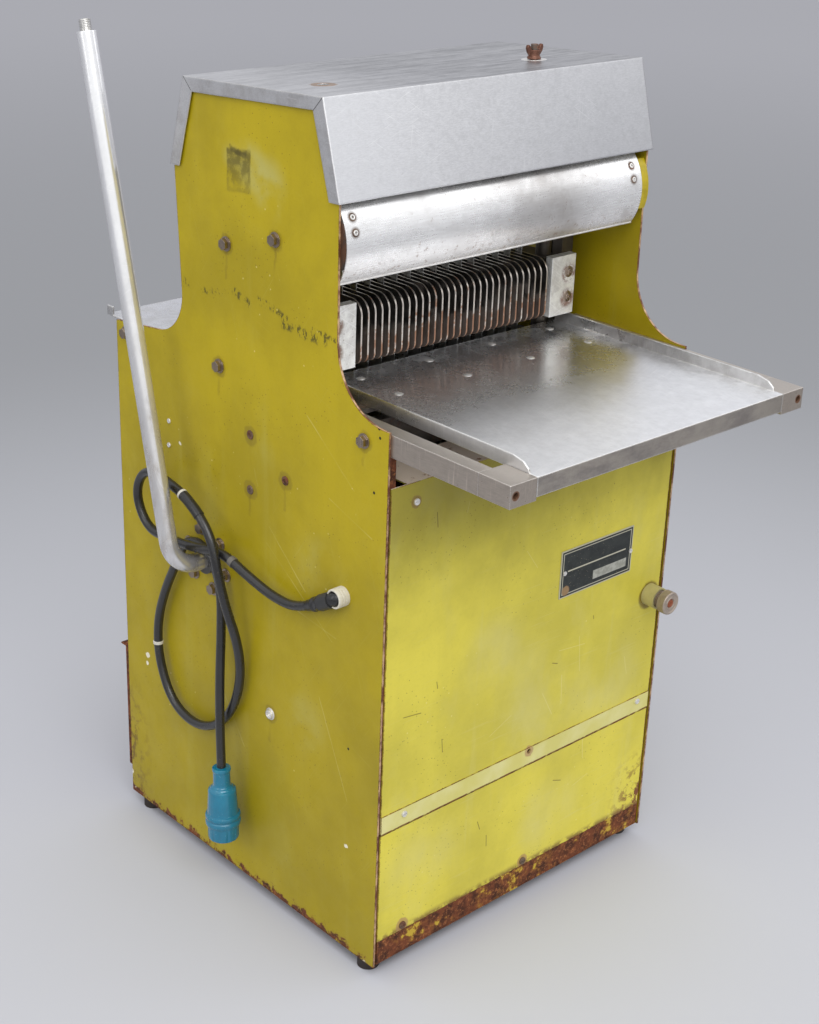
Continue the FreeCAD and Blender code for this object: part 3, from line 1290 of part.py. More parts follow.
def round_screws():
    """The round-headed screws of the side sheets, the front sheets, the plate and the hood."""
    screws = []
    shank = size("bolt_radius")
    side_screw = dome_screw(6, 2.5, shank, size("side_gauge"))
    crank_bolt = (size("crank_place") + CRANK_BOLT[0], size("crank_height") + CRANK_BOLT[1])
    for side in (-1, 1):
        across = 0 if side < 0 else size("case_width")
        for back, up in (*COUNTERSUNK_BOLTS, crank_bolt):
            spot = corner() + Vector(across, back, up)
            screws.append(along(Vector(side, 0, 0), side_screw, spot))
    small = dome_screw(3.5, 2, 1.5, SEAT)
    front_screw = dome_screw(5.5, 2.5, 2, SEAT)
    for back, up in SIDE_SCREWS:
        screws.append(along(Vector(-1, 0, 0), small, corner() + Vector(-SEAT, back, up)))
    front = Vector(0, -1, 0)
    face = size("front_recess")
    for across, edge, rise in FRONT_SCREWS:
        from_left = across if across > 0 else size("case_width") + across
        depth = face - size("hem_proud") if edge == "front_joint" else face
        spot = corner() + Vector(from_left, depth - SEAT, size(edge) + rise)
        screws.append(along(front, front_screw, spot))
    plate_face = face - size("label_gauge") - SEAT
    for across, up in LABEL_SCREWS:
        spot = Vector(size("label_left") + across, plate_face, size("label_low") + up)
        screws.append(along(front, small, corner() + spot))
    axis = corner() + Vector(0, size("hood_axis_place"), size("hood_axis_height"))
    columns = (size("hood_left") + size("hood_screw_left"), size("hood_right") - size("hood_screw_right"))
    for across in columns:
        for rise in (size("hood_screw_low"), size("hood_screw_high")):
            angle = math.asin(rise / size("hood_radius"))
            way = Vector(0, -math.cos(angle), math.sin(angle))
            spot = axis + Vector(across, 0, 0) + way * (size("hood_radius") + SEAT)
            screws.append(along(way, small, spot))
    shape_feature(Part.makeCompound(screws), "round_head_screws")


# ---------------------------------------------------------------------------------------------
# The machine
# ---------------------------------------------------------------------------------------------
def build():
    """Make every sub-part, from the case inwards."""
    side_panel("left_side_panel", "0", True)
    side_panel("right_side_panel", "case_width - side_gauge", False)
    base_frame()
    rubber_feet()
    upper_front_panel()
    lower_front_panels()
    rear_panels()
    top_cover()
    lid_fastening()
    blade_hood()
    table_arms()
    front_tray()
    tray_supports()
    infeed_tray()
    slide_rails()
    comb_plates()
    comb_frame()
    comb_carriage()
    lever()
    lever_shaft()
    blade_frame("front")
    blade_frame("rear")
    blades("front", 0)
    blades("rear", 1)
    blade_guides()
    crankshaft()
    connecting_rods("front")
    connecting_rods("rear")
    grooved_pulley("crank_pulley", "crank_place", "crank_height", "crank_pulley_radius",
                   "crank_radius + running_fit / 2")
    grooved_pulley("motor_pulley", "motor_place", "motor_height", "motor_pulley_radius",
                   "motor_shaft_radius + running_fit / 2")
    drive_belt()
    motor()
    label_plate()
    push_switch()
    cable_gland()
    end, way = cord_tube()
    mains_plug(end, way)
    case_bolts()
    round_screws()
    doc.recompute()


def check():
    """Stop before anything is written if an object failed or a sub-part is not sound."""
    faults = []
    for item in doc.Objects:
        if "Invalid" in item.State or "Error" in item.State:
            faults.append(f"{item.Name} ({item.Label}) is {item.State}")
    for item in subparts:
        if item.Shape.isNull() or not item.Shape.isValid() or not item.Shape.Solids:
            faults.append(f"{item.Label} has no sound solid")
    if faults:
        raise SystemExit("\n".join(faults))


def export():
    """Write one STEP file for each sub-part, and print how large the machine is."""
    os.makedirs("parts", exist_ok=True)
    whole = FreeCAD.BoundBox()
    for item in subparts:
        item.Shape.exportStep(f"parts/{item.Label}.step")
        if item.Label not in ("power_cord", "mains_plug", "gland_nut"):
            whole.add(item.Shape.BoundBox)
    print(f"{len(subparts)} sub-parts, without the cord they span", whole)


build()
check()
export()
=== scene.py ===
"""The looks of a frame-saw bread slicer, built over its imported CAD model. Metres, +Z up, +Y to the back."""
import math

import bmesh
import bpy
from mathutils import Matrix, Vector


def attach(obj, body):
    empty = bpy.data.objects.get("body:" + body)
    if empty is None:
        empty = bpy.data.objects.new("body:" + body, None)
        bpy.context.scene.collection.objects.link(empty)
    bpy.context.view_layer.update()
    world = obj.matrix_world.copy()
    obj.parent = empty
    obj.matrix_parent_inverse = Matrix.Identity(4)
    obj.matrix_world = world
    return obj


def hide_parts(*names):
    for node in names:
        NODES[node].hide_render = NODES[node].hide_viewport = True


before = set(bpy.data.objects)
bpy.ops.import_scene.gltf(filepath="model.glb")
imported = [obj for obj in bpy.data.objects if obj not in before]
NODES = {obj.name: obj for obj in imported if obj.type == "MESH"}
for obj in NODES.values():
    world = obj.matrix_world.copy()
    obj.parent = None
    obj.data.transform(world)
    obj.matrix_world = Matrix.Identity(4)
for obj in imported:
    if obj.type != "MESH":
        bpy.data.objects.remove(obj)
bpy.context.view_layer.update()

# The left front corner of the case on the floor. Places below are counted from it in millimetres.
# The finishes' own measures, and those of screw heads, are in metres.
CORNER = Vector((-0.23845, -0.199, 0.0))
MM = 0.001
LEFT_EDGE, FRONT_EDGE = 238.45, 199
LEFT, FRONT, UP = Vector((-1, 0, 0)), Vector((0, -1, 0)), Vector((0, 0, 1))


def at(x, y, z):
    """A place counted from the corner of the case, in millimetres, as a point of the row frame."""
    return CORNER + Vector((x, y, z)) * MM


# Camera
AZIMUTH, ELEVATION, ROLL = math.radians(-43.2), math.radians(23.6), math.radians(2.1)
CAMERA_PLACE = (-1260.2, -1380.6, 1501.2)
FOCAL_PIXELS, LONG_SIDE, SENSOR = 1727.0, 1024.0, 36.0


def make_camera():
    """The camera at the photograph's place, height and tilt."""
    back = Vector((
        math.sin(AZIMUTH) * math.cos(ELEVATION),
        -math.cos(AZIMUTH) * math.cos(ELEVATION),
        math.sin(ELEVATION),
    ))
    level = (-back).cross(Vector((0, 0, 1))).normalized()
    upright = level.cross(-back)
    right = level * math.cos(ROLL) + upright * math.sin(ROLL)
    up = upright * math.cos(ROLL) - level * math.sin(ROLL)
    data = bpy.data.cameras.new("camera")
    data.sensor_width = SENSOR
    data.lens = FOCAL_PIXELS / LONG_SIDE * SENSOR
    data.clip_start, data.clip_end = 0.1, 80
    camera = bpy.data.objects.new("camera", data)
    rotation = Matrix((right, up, back)).transposed().to_4x4()
    camera.matrix_world = Matrix.Translation(at(*CAMERA_PLACE)) @ rotation
    bpy.context.scene.collection.objects.link(camera)
    bpy.context.scene.camera = camera


make_camera()


# Node helpers
class Nodes:
    """A node tree with short calls for the nodes that materials and the world share."""

    def __init__(self, tree):
        self.tree = tree

    def new(self, kind, inputs=(), **settings):
        """A node with its settings, and with sockets or values put into its inputs."""
        made = self.tree.nodes.new(kind)
        for key, value in settings.items():
            setattr(made, key, value)
        for key, value in dict(inputs).items():
            self.put(made.inputs[key], value)
        return made

    def put(self, socket, value):
        """Link a socket into an input, or set the input's own value."""
        if isinstance(value, bpy.types.NodeSocket):
            self.tree.links.new(value, socket)
        elif isinstance(value, (tuple, list)) and len(value) == 3 and socket.type == "RGBA":
            socket.default_value = (*value, 1)
        else:
            socket.default_value = value

    def math(self, operation, a, b=0.0):
        """One arithmetic step."""
        made = self.new("ShaderNodeMath", operation=operation)
        self.put(made.inputs[0], a)
        self.put(made.inputs[1], b)
        return made.outputs[0]

    def add(self, a, b):
        return self.math("ADD", a, b)

    def less(self, a, b):
        return self.math("SUBTRACT", a, b)

    def times(self, a, b):
        return self.math("MULTIPLY", a, b)

    def most(self, a, b):
        return self.math("MAXIMUM", a, b)

    def band(self, value, low, high, low_out=0.0, high_out=1.0):
        """The value's place between two limits, clamped and eased."""
        made = self.new("ShaderNodeMapRange", interpolation_type="SMOOTHSTEP", clamp=True)
        for index, number in enumerate((value, low, high, low_out, high_out)):
            self.put(made.inputs[index], number)
        return made.outputs[0]

    def mix(self, factor, a, b):
        """A colour between two colours."""
        made = self.new("ShaderNodeMix", data_type="RGBA")
        self.put(made.inputs[0], factor)
        self.put(made.inputs[6], a)
        self.put(made.inputs[7], b)
        return made.outputs[2]

    def length(self, *parts):
        """The length of a vector from its parts."""
        squares = [self.math("POWER", part, 2.0) for part in parts]
        total = squares[0]
        for square in squares[1:]:
            total = self.add(total, square)
        return self.math("SQRT", total)

    def size(self, a):
        return self.math("ABSOLUTE", a)


class Shader(Nodes):
    """A material's node tree. It carries the tone that the finishes build up, layer by layer."""

    def __init__(self, name):
        self.material = bpy.data.materials.new(name)
        self.material.use_nodes = True
        super().__init__(self.material.node_tree)
        self.bsdf = self.tree.nodes["Principled BSDF"]
        self.place = self.new("ShaderNodeTexCoord").outputs["Object"]
        self.x, self.y, self.z = self.new("ShaderNodeSeparateXYZ", {0: self.place}).outputs

    def coat(self, mask, color):
        """Colour the tone where the mask is."""
        self.tone = self.mix(mask, self.tone, color)

    def lay(self, mask, share, color):
        """Lay a share of a colour over the tone where the mask is."""
        self.coat(self.times(mask, share), color)

    def blend(self, factor, a, b):
        """A number between two numbers."""
        made = self.new("ShaderNodeMix", data_type="FLOAT")
        self.put(made.inputs[0], factor)
        self.put(made.inputs[2], a)
        self.put(made.inputs[3], b)
        return made.outputs[0]

    def spread(self, turn, stretch, shift):
        """The object's coordinates, turned first and stretched after."""
        place = self.place
        if turn:
            place = self.new("ShaderNodeMapping", {"Vector": place, "Rotation": turn}).outputs[0]
        mapping = self.new("ShaderNodeMapping", {"Vector": place, "Scale": stretch, "Location": shift})
        return mapping.outputs[0]

    def noise(self, scale, detail=4.0, rough=0.55, stretch=(1, 1, 1), turn=None, shift=(0, 0, 0)):
        """Noise over the object, with its own stretch along each axis."""
        vector = self.spread(turn, stretch, shift)
        made = self.new("ShaderNodeTexNoise", {"Vector": vector, "Scale": scale, "Detail": detail,
                                               "Roughness": rough})
        return made.outputs[0]

    def patch(self, low, high, *noise, **settings):
        """Where noise lies between two limits, eased."""
        return self.band(self.noise(*noise, **settings), low, high)

    def wander(self, reach, *noise, **settings):
        """Noise about zero, by which an edge strays."""
        return self.times(self.less(self.noise(*noise, **settings), 0.5), reach)

    def cells(self, scale):
        """Distance to the nearest of many scattered points."""
        vector = self.spread(None, (1, 1, 1), (0, 0, 0))
        return self.new("ShaderNodeTexVoronoi", {"Vector": vector, "Scale": scale}).outputs[0]

    def specks(self, scale, size, share, where=9.0):
        """Small round specks, in some regions only."""
        dots = self.band(self.cells(scale), size, size * 0.55)
        return self.times(dots, self.band(self.noise(where, 3), 0.66 - share, 0.74 - share))

    def scratches(self, axis, scale=14, thin=70, share=0.5):
        """Fine straight scratches at three angles about an axis."""
        total = 0.0
        for angle, shift in ((0.35, 0), (-0.6, 3), (1.25, 7)):
            turn = [0.0, 0.0, 0.0]
            turn[axis] = angle
            stretch = [1.0, 1.0, 1.0]
            stretch[(axis + 1) % 3] = thin
            lines = self.noise(scale, 2, 0.5, tuple(stretch), tuple(turn), (shift, shift, shift))
            total = self.most(total, self.band(lines, 0.68 - 0.06 * share, 0.73 - 0.06 * share))
        return self.times(total, self.band(self.noise(7, 3), 0.35, 0.6))

    def facing(self, axis):
        """How squarely the surface faces along one axis, from -1 to 1."""
        normal = self.new("ShaderNodeTexCoord").outputs["Normal"]
        return self.new("ShaderNodeSeparateXYZ", {0: normal}).outputs[axis]

    def soft_normal(self, radius):
        """The surface's direction with its sharp edges rounded off."""
        return self.new("ShaderNodeBevel", {"Radius": radius}, samples=6).outputs[0]

    def edge(self, radius, low=0.02, high=0.2):
        """1 near the sharp edges of the piece, 0 on its flat faces."""
        normal = self.new("ShaderNodeNewGeometry").outputs["Normal"]
        dot = self.new("ShaderNodeVectorMath", {0: self.soft_normal(radius), 1: normal},
                       operation="DOT_PRODUCT")
        return self.band(self.less(1.0, dot.outputs["Value"]), low, high)

    def disc(self, across, up, centre, radius, soft):
        """1 inside a circle on a sheet, 0 outside it."""
        away = self.length(self.less(across, centre[0]), self.less(up, centre[1]))
        return self.band(away, radius + soft, radius)

    def rectangle(self, across, up, low, high, soft):
        """1 inside a rectangle on a sheet, 0 outside it."""
        middle = ((low[0] + high[0]) / 2, (low[1] + high[1]) / 2)
        half = ((high[0] - low[0]) / 2, (high[1] - low[1]) / 2)
        inside = 1.0
        for value, centre, reach in ((across, middle[0], half[0]), (up, middle[1], half[1])):
            away = self.math("ABSOLUTE", self.less(value, centre))
            inside = self.times(inside, self.band(away, reach + soft / 2, reach - soft / 2))
        return inside

    def stroke(self, across, up, start, end, width):
        """1 on a straight line between two places on a sheet, fading to 0 at its width."""
        run = (end[0] - start[0], end[1] - start[1])
        length = math.hypot(*run)
        way = (run[0] / length, run[1] / length)
        from_a = self.less(across, start[0])
        from_b = self.less(up, start[1])
        ahead = self.add(self.times(from_a, way[0]), self.times(from_b, way[1]))
        aside = self.less(self.times(from_b, way[0]), self.times(from_a, way[1]))
        middle = self.math("ABSOLUTE", self.less(ahead, length / 2))
        past = self.most(self.less(middle, length / 2), 0.0)
        return self.band(self.length(aside, past), width, width * 0.35)

    def strokes(self, across, up, spot, lines, *width):
        """A mask for every line of a table: its two places on a sheet, and its width where it isn't given."""
        for left, low, right, high, *wide in lines:
            yield self.stroke(across, up, spot(left, low), spot(right, high), *wide, *width)

    def bump(self, height, strength, distance=0.001, normal=None):
        """Relief from a height."""
        made = self.new("ShaderNodeBump", {"Height": height, "Strength": strength, "Distance": distance})
        if normal:
            self.put(made.inputs["Normal"], normal)
        self.put(self.bsdf.inputs["Normal"], made.outputs[0])

    def finish(self, color, rough, metallic=0.0, specular=0.5):
        """Put the results into the surface."""
        self.put(self.bsdf.inputs["Base Color"], color)
        self.put(self.bsdf.inputs["Roughness"], rough)
        self.put(self.bsdf.inputs["Metallic"], metallic)
        self.put(self.bsdf.inputs["Specular IOR Level"], specular)
        return self.material


def srgb(red, green, blue):
    """A colour as a screen shows it, in Blender's linear numbers."""
    def linear(value):
        value /= 255
        return value / 12.92 if value <= 0.04045 else ((value + 0.055) / 1.055) ** 2.4
    return tuple(linear(value) for value in (red, green, blue))


def scaled(color, factor):
    """A colour made darker or lighter."""
    return tuple(min(1.0, value * factor) for value in color)


RUST_DARK = srgb(66, 38, 26)
RUST_MID = srgb(112, 62, 38)
RUST_PALE = srgb(170, 108, 66)


def rust(s, scale=60.0):
    """Rust colour from three browns, and its grain."""
    broad = s.noise(scale, 6, 0.65)
    fine = s.noise(scale * 5, 5, 0.7)
    low = s.mix(s.band(broad, 0.38, 0.62), RUST_DARK, RUST_MID)
    return s.mix(s.band(fine, 0.50, 0.72), low, RUST_PALE), fine


# Painted sheets
OLIVE = srgb(184, 163, 15)
OLIVE_HAZE = srgb(184, 174, 84)
OCHRE = srgb(222, 208, 76)
OCHRE_HAZE = srgb(212, 206, 142)


def sheet_spot(back, height):
    """A place on a side sheet, in metres of the row frame."""
    return (back - FRONT_EDGE) * MM, height * MM


def front_spot(across, height):
    """A place on a front sheet, in metres of the row frame."""
    return (across - LEFT_EDGE) * MM, height * MM


# The cover's two holes, the hood's axis and radius, its screws from that axis, and the comb's screws.
STUD_X, FREE_HOLE_X, LID_Y = 424, 66, 207
HOOD_AXIS = (161, 980)
HOOD_RADIUS = 74
HOOD_SCREWS = ((19, 18), (19, 35), (506, 18), (506, 35))
COMB_SCREWS = ((55, 825), (55, 860), (475, 825), (475, 860))


def paint_finish(name, color, haze, marks, low_rust, chips=0.34, grime=0.28):
    """Old enamel on sheet steel: cloudy, speckled, chipped at its edges, rusty at its foot, and darker towards the
    floor as painted shade, by the share that grime gives.
    """
    s = Shader(name)
    cloud = s.noise(4.2, 6, 0.6)
    drift = s.noise(11, 5, 0.6, stretch=(1, 1, 0.5))
    fine = s.noise(260, 3, 0.6)
    s.tone = s.mix(s.band(cloud, 0.34, 0.64), scaled(color, 0.78), scaled(color, 1.02))
    streak = s.noise(26, 5, 0.6, stretch=(1, 1, 0.07))
    s.lay(s.band(streak, 0.46, 0.72), 0.22, scaled(color, 0.80))
    s.lay(s.band(streak, 0.42, 0.28), 0.18, haze)
    s.lay(s.band(drift, 0.54, 0.80), 0.34, haze)
    s.lay(s.band(fine, 0.50, 0.80), 0.13, scaled(color, 0.5))
    # Painted shade: the paint is darkened towards the floor.
    s.lay(s.band(s.z, 0.80, 0.20), grime, scaled(color, 0.5))
    s.lay(s.specks(150, 0.15, 0.16), 0.6, srgb(88, 68, 20))
    s.lay(s.specks(60, 0.09, 0.14, 5), 0.5, srgb(232, 222, 150))
    s.lay(s.scratches(0, 9, 60, 0.2), 0.16, haze)
    marks(s)
    grit = s.noise(70, 6, 0.7)
    foot = s.times(s.band(s.z, 0.018 + low_rust, 0.018), 0.33)
    worn = s.add(s.times(s.edge(0.0026, 0.02, 0.14), chips), foot)
    chip = s.band(s.add(grit, worn), 0.79, 0.82)
    halo = s.band(s.add(grit, worn), 0.70, 0.82)
    brown = rust(s)[0]
    s.lay(halo, 0.45, srgb(128, 84, 28))
    relief = s.less(s.times(s.noise(120, 4), 0.25), s.times(chip, 0.7))
    s.bump(s.add(relief, s.times(s.noise(420, 2), 0.08)), 0.35, 0.0006)
    rough = s.blend(chip, s.band(s.noise(26, 4), 0.3, 0.7, 0.36, 0.52), 0.85)
    return s.finish(s.mix(chip, s.tone, brown), rough, specular=0.35)


def bare_edge(s, across_axis):
    """Bare, stained steel on a sheet's narrow edge faces, which don't look along the given axis."""
    flat = s.size(s.facing(across_axis))
    stain = s.noise(34, 6, 0.7)
    bare = s.mix(s.band(stain, 0.42, 0.60), srgb(196, 164, 128), srgb(96, 56, 36))
    s.coat(s.band(flat, 0.75, 0.35), bare)


LEFT_HAZE = (
    (262, 1046, 0.030, 0.55), (228, 1030, 0.034, 0.50), (300, 1052, 0.018, 0.30), (225, 1000, 0.020, 0.25),
    (150, 330, 0.045, 0.22), (120, 560, 0.05, 0.2),
)
LEFT_SCUFFS = (
    (403, 872, 395, 868, 0.006), (365, 868, 318, 876, 0.006), (300, 884, 268, 874, 0.008),
    (246, 884, 190, 873, 0.007), (196, 864, 120, 862, 0.008), (140, 872, 98, 868, 0.005),
)
LEFT_SCRATCHES = (
    (199, 491, 89, 478, 0.0012), (230, 560, 96, 470, 0.0010), (256, 656, 249, 634, 0.0014),
    (106, 665, 26, 639, 0.0010), (330, 300, 280, 230, 0.0010), (480, 640, 470, 560, 0.0010),
    (150, 760, 60, 690, 0.0012), (120, 380, 60, 250, 0.0009), (520, 700, 500, 690, 0.0014),
    (225, 585, 150, 520, 0.0012),
)
LEFT_CHIPS = (
    (568, 50, 0.006), (559, 22, 0.005), (514, 277, 0.0045), (515, 262, 0.003), (17, 15, 0.004), (420, 640, 0.002),
    (60, 180, 0.003),
)
HOLES_LEFT = ((18, 783), (16, 772), (24, 700), (60, 330))
BOLT_STAINS = (
    (311, 930, 34), (213, 956, 44), (329, 766, 30), (264, 690, 34), (264, 614, 26), (192, 650, 30), (221, 300, 34),
    (44, 750, 20),
)


def left_marks(s):
    """The left sheet's marks: a label's scar, pale haze, a dotted scuff, scratches, chips and stains."""
    wobble = s.wander(0.012, 60, 5, 0.7)
    half_wobble = s.times(wobble, 0.5)
    across = s.add(s.y, wobble)
    up = s.add(s.z, wobble)
    cloudy = s.patch(0.35, 0.65, 18, 4)
    for back, height, radius, share in LEFT_HAZE:
        haze = s.disc(across, up, sheet_spot(back, height), radius * 0.3, radius)
        s.lay(s.times(haze, cloudy), share, srgb(186, 184, 120))
    lean = s.times(s.less(s.y, 0.087), 0.10)
    scar_up = s.add(s.add(s.z, half_wobble), lean)
    scar = s.rectangle(s.add(s.y, half_wobble), scar_up, sheet_spot(262, 1009), sheet_spot(309, 1062), 0.004)
    rag = s.patch(0.36, 0.56, 55, 5, 0.7)
    scar_dark = s.mix(rag, srgb(136, 122, 30), srgb(112, 100, 28))
    scar_tone = s.mix(s.band(s.z, 1.022, 1.055), scar_dark, srgb(88, 78, 26))
    fade = s.band(s.z, 1.004, 1.040, 0.45, 1.0)
    s.lay(s.times(scar, fade), s.blend(rag, 0.30, 0.78), scar_tone)
    curl = s.stroke(across, up, sheet_spot(300, 1061), sheet_spot(272, 1056), 0.005)
    s.lay(curl, 0.6, srgb(60, 52, 22))
    dots = s.band(s.noise(190, 4, 0.75, stretch=(1, 1, 0.5)), 0.50, 0.57)
    for scuff in s.strokes(s.y, up, sheet_spot, LEFT_SCUFFS):
        s.lay(s.times(scuff, dots), 0.8, srgb(58, 54, 24))
    for scratch in s.strokes(s.add(s.y, s.times(wobble, 0.3)), s.z, sheet_spot, LEFT_SCRATCHES):
        s.lay(scratch, s.blend(cloudy, 0.08, 0.42), srgb(204, 194, 120))
    for back, height, radius in LEFT_CHIPS:
        s.coat(s.disc(across, up, sheet_spot(back, height), radius, 0.001), srgb(232, 226, 204))
    for spot in HOLES_LEFT:
        s.coat(s.disc(s.y, s.z, sheet_spot(*spot), 0.0016, 0.0006), srgb(30, 24, 12))
    for back, height, drop in BOLT_STAINS:
        streak = s.stroke(across, s.z, sheet_spot(back, height), sheet_spot(back + 2, height - drop), 0.0035)
        s.lay(s.times(streak, cloudy), 0.35, srgb(110, 90, 26))
        s.lay(s.disc(across, up, sheet_spot(back, height + 9), 0.0115, 0.004), 0.35, srgb(104, 84, 26))
    rear = s.times(s.band(s.y, 0.30, 0.37), s.band(s.z, 0.26, 0.10))
    s.lay(s.times(rear, s.patch(0.50, 0.60, 55, 6, 0.75)), 0.75, srgb(92, 58, 26))
    bare_edge(s, 0)


def streaks(s):
    """Few marks on the sheets that are less handled: brown streaks and patches of rust."""
    streak = s.patch(0.60, 0.75, 20, 5, 0.65, stretch=(1, 1, 0.12))
    s.lay(streak, 0.25, srgb(120, 100, 30))
    patch = s.patch(0.70, 0.73, 46, 6, 0.75)
    s.lay(patch, 0.8, RUST_MID)


def plain_marks(s):
    """The right side sheet: streaks, and bare narrow faces."""
    streaks(s)
    bare_edge(s, 0)


def rear_marks(s):
    """The rear sheet: streaks, grime above its access cover, and bare narrow faces."""
    streaks(s)
    wander = s.wander(0.10, 18, 5, 0.65)
    dark_band = s.band(s.add(s.z, wander), 0.42, 0.30, 0.0, 0.6)
    s.coat(dark_band, srgb(92, 76, 30))
    bare_edge(s, 1)


FRONT_CLOUDS = (
    (300, 320, 0.11), (430, 300, 0.08), (90, 130, 0.09), (200, 420, 0.07), (330, 120, 0.07),
)
FRONT_SCRATCHES = (
    (337, 346, 340, 300, 0.0009), (368, 396, 374, 340, 0.0008), (300, 330, 322, 290, 0.0008),
    (200, 300, 240, 318, 0.0007), (390, 250, 396, 190, 0.0010), (250, 560, 272, 530, 0.0006),
    (328, 387, 380, 381, 0.0008), (139, 660, 136, 646, 0.0008), (380, 150, 410, 158, 0.0008),
    (470, 330, 478, 300, 0.0008),
)
FRONT_NICKS = (
    (186, 170, 191, 156), (205, 140, 206, 122), (336, 176, 352, 170), (316, 372, 326, 368), (394, 420, 395, 415),
    (96, 420, 98, 410), (40, 388, 70, 384), (110, 330, 112, 310), (84, 660, 86, 640),
)
FRONT_BORDERS = (
    (251.8, 0.0008, 0.35), (225.2, 0.0018, 0.9), (223.2, 0.0012, 0.7),
)
FRONT_RINGS = (
    (280, 246.6, 0.0075), (51, 64, 0.010), (282, 64, 0.009), (48, 684, 0.0075),
)


def front_marks(s):
    """The front sheets: pale clouds, scratches, a pale hem and ledge, rusty borders, a painted shadow under the
    table, rings of dirt, and a ring of dirt and painted shade round the knob.
    """
    wobble = s.wander(0.010, 50, 5, 0.7)
    up = s.add(s.z, wobble)
    shade = s.patch(0.40, 0.70, 7, 5, 0.6, stretch=(1, 1, 0.6))
    for across, height, radius in FRONT_CLOUDS:
        cloud = s.disc(s.x, up, front_spot(across, height), radius * 0.2, radius)
        s.lay(s.times(cloud, shade), 0.42, srgb(206, 200, 142))
    for scratch in s.strokes(s.x, s.z, front_spot, FRONT_SCRATCHES):
        s.lay(scratch, 0.28, srgb(232, 224, 170))
    for nick in s.strokes(s.x, s.z, front_spot, FRONT_NICKS, 0.0010):
        s.lay(nick, 0.7, srgb(92, 72, 24))
    hem = s.rectangle(s.x, s.z, front_spot(6, 225.5), front_spot(534, 251.5), 0.001)
    s.lay(hem, 0.9, s.mix(s.patch(0.35, 0.68, 16, 5), srgb(210, 202, 118), srgb(220, 214, 152)))
    for line, wide, share in FRONT_BORDERS:
        border = s.stroke(s.x, s.add(s.z, s.times(wobble, 0.12)), front_spot(6, line), front_spot(534, line), wide)
        s.lay(s.times(border, s.patch(0.34, 0.50, 60, 5, 0.7)), share, srgb(112, 66, 34))
    s.lay(s.times(s.band(up, 0.068, 0.057), s.patch(0.40, 0.55, 50, 5, 0.7)), 0.8, srgb(104, 60, 34))
    right_foot = s.times(s.band(s.x, 0.215, 0.285), s.band(s.z, 0.17, 0.075))
    s.coat(s.times(right_foot, s.patch(0.50, 0.57, 60, 6, 0.75)), srgb(120, 66, 34))
    for across, height, radius in FRONT_RINGS:
        s.lay(s.disc(s.x, up, front_spot(across, height), radius, 0.002), 0.7, srgb(170, 128, 92))
    # Painted shadow: the sheet is darkened towards its top, under the table.
    dark_band = s.add(s.z, s.times(s.less(shade, 0.5), 0.05))
    s.coat(s.band(dark_band, 0.52, 0.68, 0.0, 0.60), srgb(84, 74, 20))
    # A dark ring round the knob's collar: dirt, and painted shade where the collar meets the sheet.
    s.lay(s.disc(s.x, up, front_spot(511, 416), 0.0185, 0.005), 0.75, srgb(92, 66, 30))
    ledge = s.times(s.band(s.facing(2), 0.5, 0.8), s.band(s.z, 0.700, 0.705))
    s.coat(ledge, s.mix(s.patch(0.58, 0.66, 60, 6, 0.7), srgb(214, 198, 180), srgb(140, 100, 72)))


# Metals and plastics
def steel_finish(name, color, rough=(0.26, 0.42), grain=(1, 30, 30), grain_scale=40, dirt=0.0, pits=0.0,
                 axis=2, scratch=0.4, round_edge=0.0012, marks=None, dirt_color=srgb(104, 78, 56),
                 relief=0.10, metallic=1.0, contrast=0.10, painted_edge_highlight=0.0):
    """Bright steel: a brushed grain, mottling, clouds of finger marks, fine scratches, stains, small pits, and a
    painted highlight along its sharp edges.
    """
    s = Shader(name)
    lines = s.noise(grain_scale, 5, 0.7, stretch=grain)
    cloud = s.noise(8, 5, 0.6)
    smear = s.noise(30, 4, 0.6)
    mottle = s.noise(95, 5, 0.75)
    s.tone = s.mix(s.band(lines, 0.3, 0.7), scaled(color, 1 - contrast), scaled(color, 1 + contrast))
    s.lay(s.band(mottle, 0.46, 0.66), min(1, contrast * 3), scaled(color, 0.74))
    s.lay(s.band(cloud, 0.42, 0.70), 0.30, scaled(color, 0.74))
    cuts = s.scratches(axis, 13, 60, scratch)
    s.lay(cuts, 0.55, scaled(color, 1.5))
    edges = s.edge(0.0016, 0.02, 0.25)
    # Painted highlight: near-white laid along the sharp edges.
    s.lay(edges, painted_edge_highlight, srgb(250, 249, 247))
    stain = s.band(s.add(smear, s.times(edges, 0.12)), 0.86 - 0.36 * dirt, 0.96 - 0.32 * dirt)
    stain = s.times(stain, min(1.0, dirt * 2.5))
    spots = s.times(s.specks(170, 0.13, 0.16 * pits + 0.02), min(1.0, pits))
    s.coat(stain, dirt_color)
    s.coat(spots, scaled(dirt_color, 0.7))
    s.dull = s.most(stain, spots)
    if marks:
        marks(s)
    shine = s.add(s.times(cloud, 0.5), s.add(s.times(lines, 0.25), s.times(mottle, 0.25)))
    base_rough = s.band(shine, 0.36, 0.64, rough[0], rough[1])
    height = s.less(s.add(s.times(lines, 0.6), s.times(smear, 0.3)), s.times(cuts, 0.5))
    s.bump(height, relief, 0.0003, s.soft_normal(round_edge))
    return s.finish(s.tone, s.blend(s.dull, base_rough, 0.75), s.blend(s.dull, metallic, 0.15))


def rust_finish(name, paint=None, paint_share=0.0):
    """Rusted steel, with what is left of its paint."""
    s = Shader(name)
    brown, grain = rust(s, 45)
    height = s.add(grain, s.times(s.noise(30, 5, 0.7), 0.6))
    s.bump(height, 0.5, 0.0008)
    if not paint:
        return s.finish(brown, 0.9, specular=0.3)
    left = s.add(s.noise(20, 6, 0.7), s.wander(0.25, 90, 4))
    bleed = s.band(left, 0.56 - paint_share, 0.66 - paint_share)
    kept = s.band(left, 0.63 - paint_share, 0.67 - paint_share)
    s.tone = s.mix(s.times(bleed, 0.8), brown, srgb(146, 96, 44))
    return s.finish(s.mix(kept, s.tone, paint), s.blend(kept, 0.9, 0.5), specular=0.3)


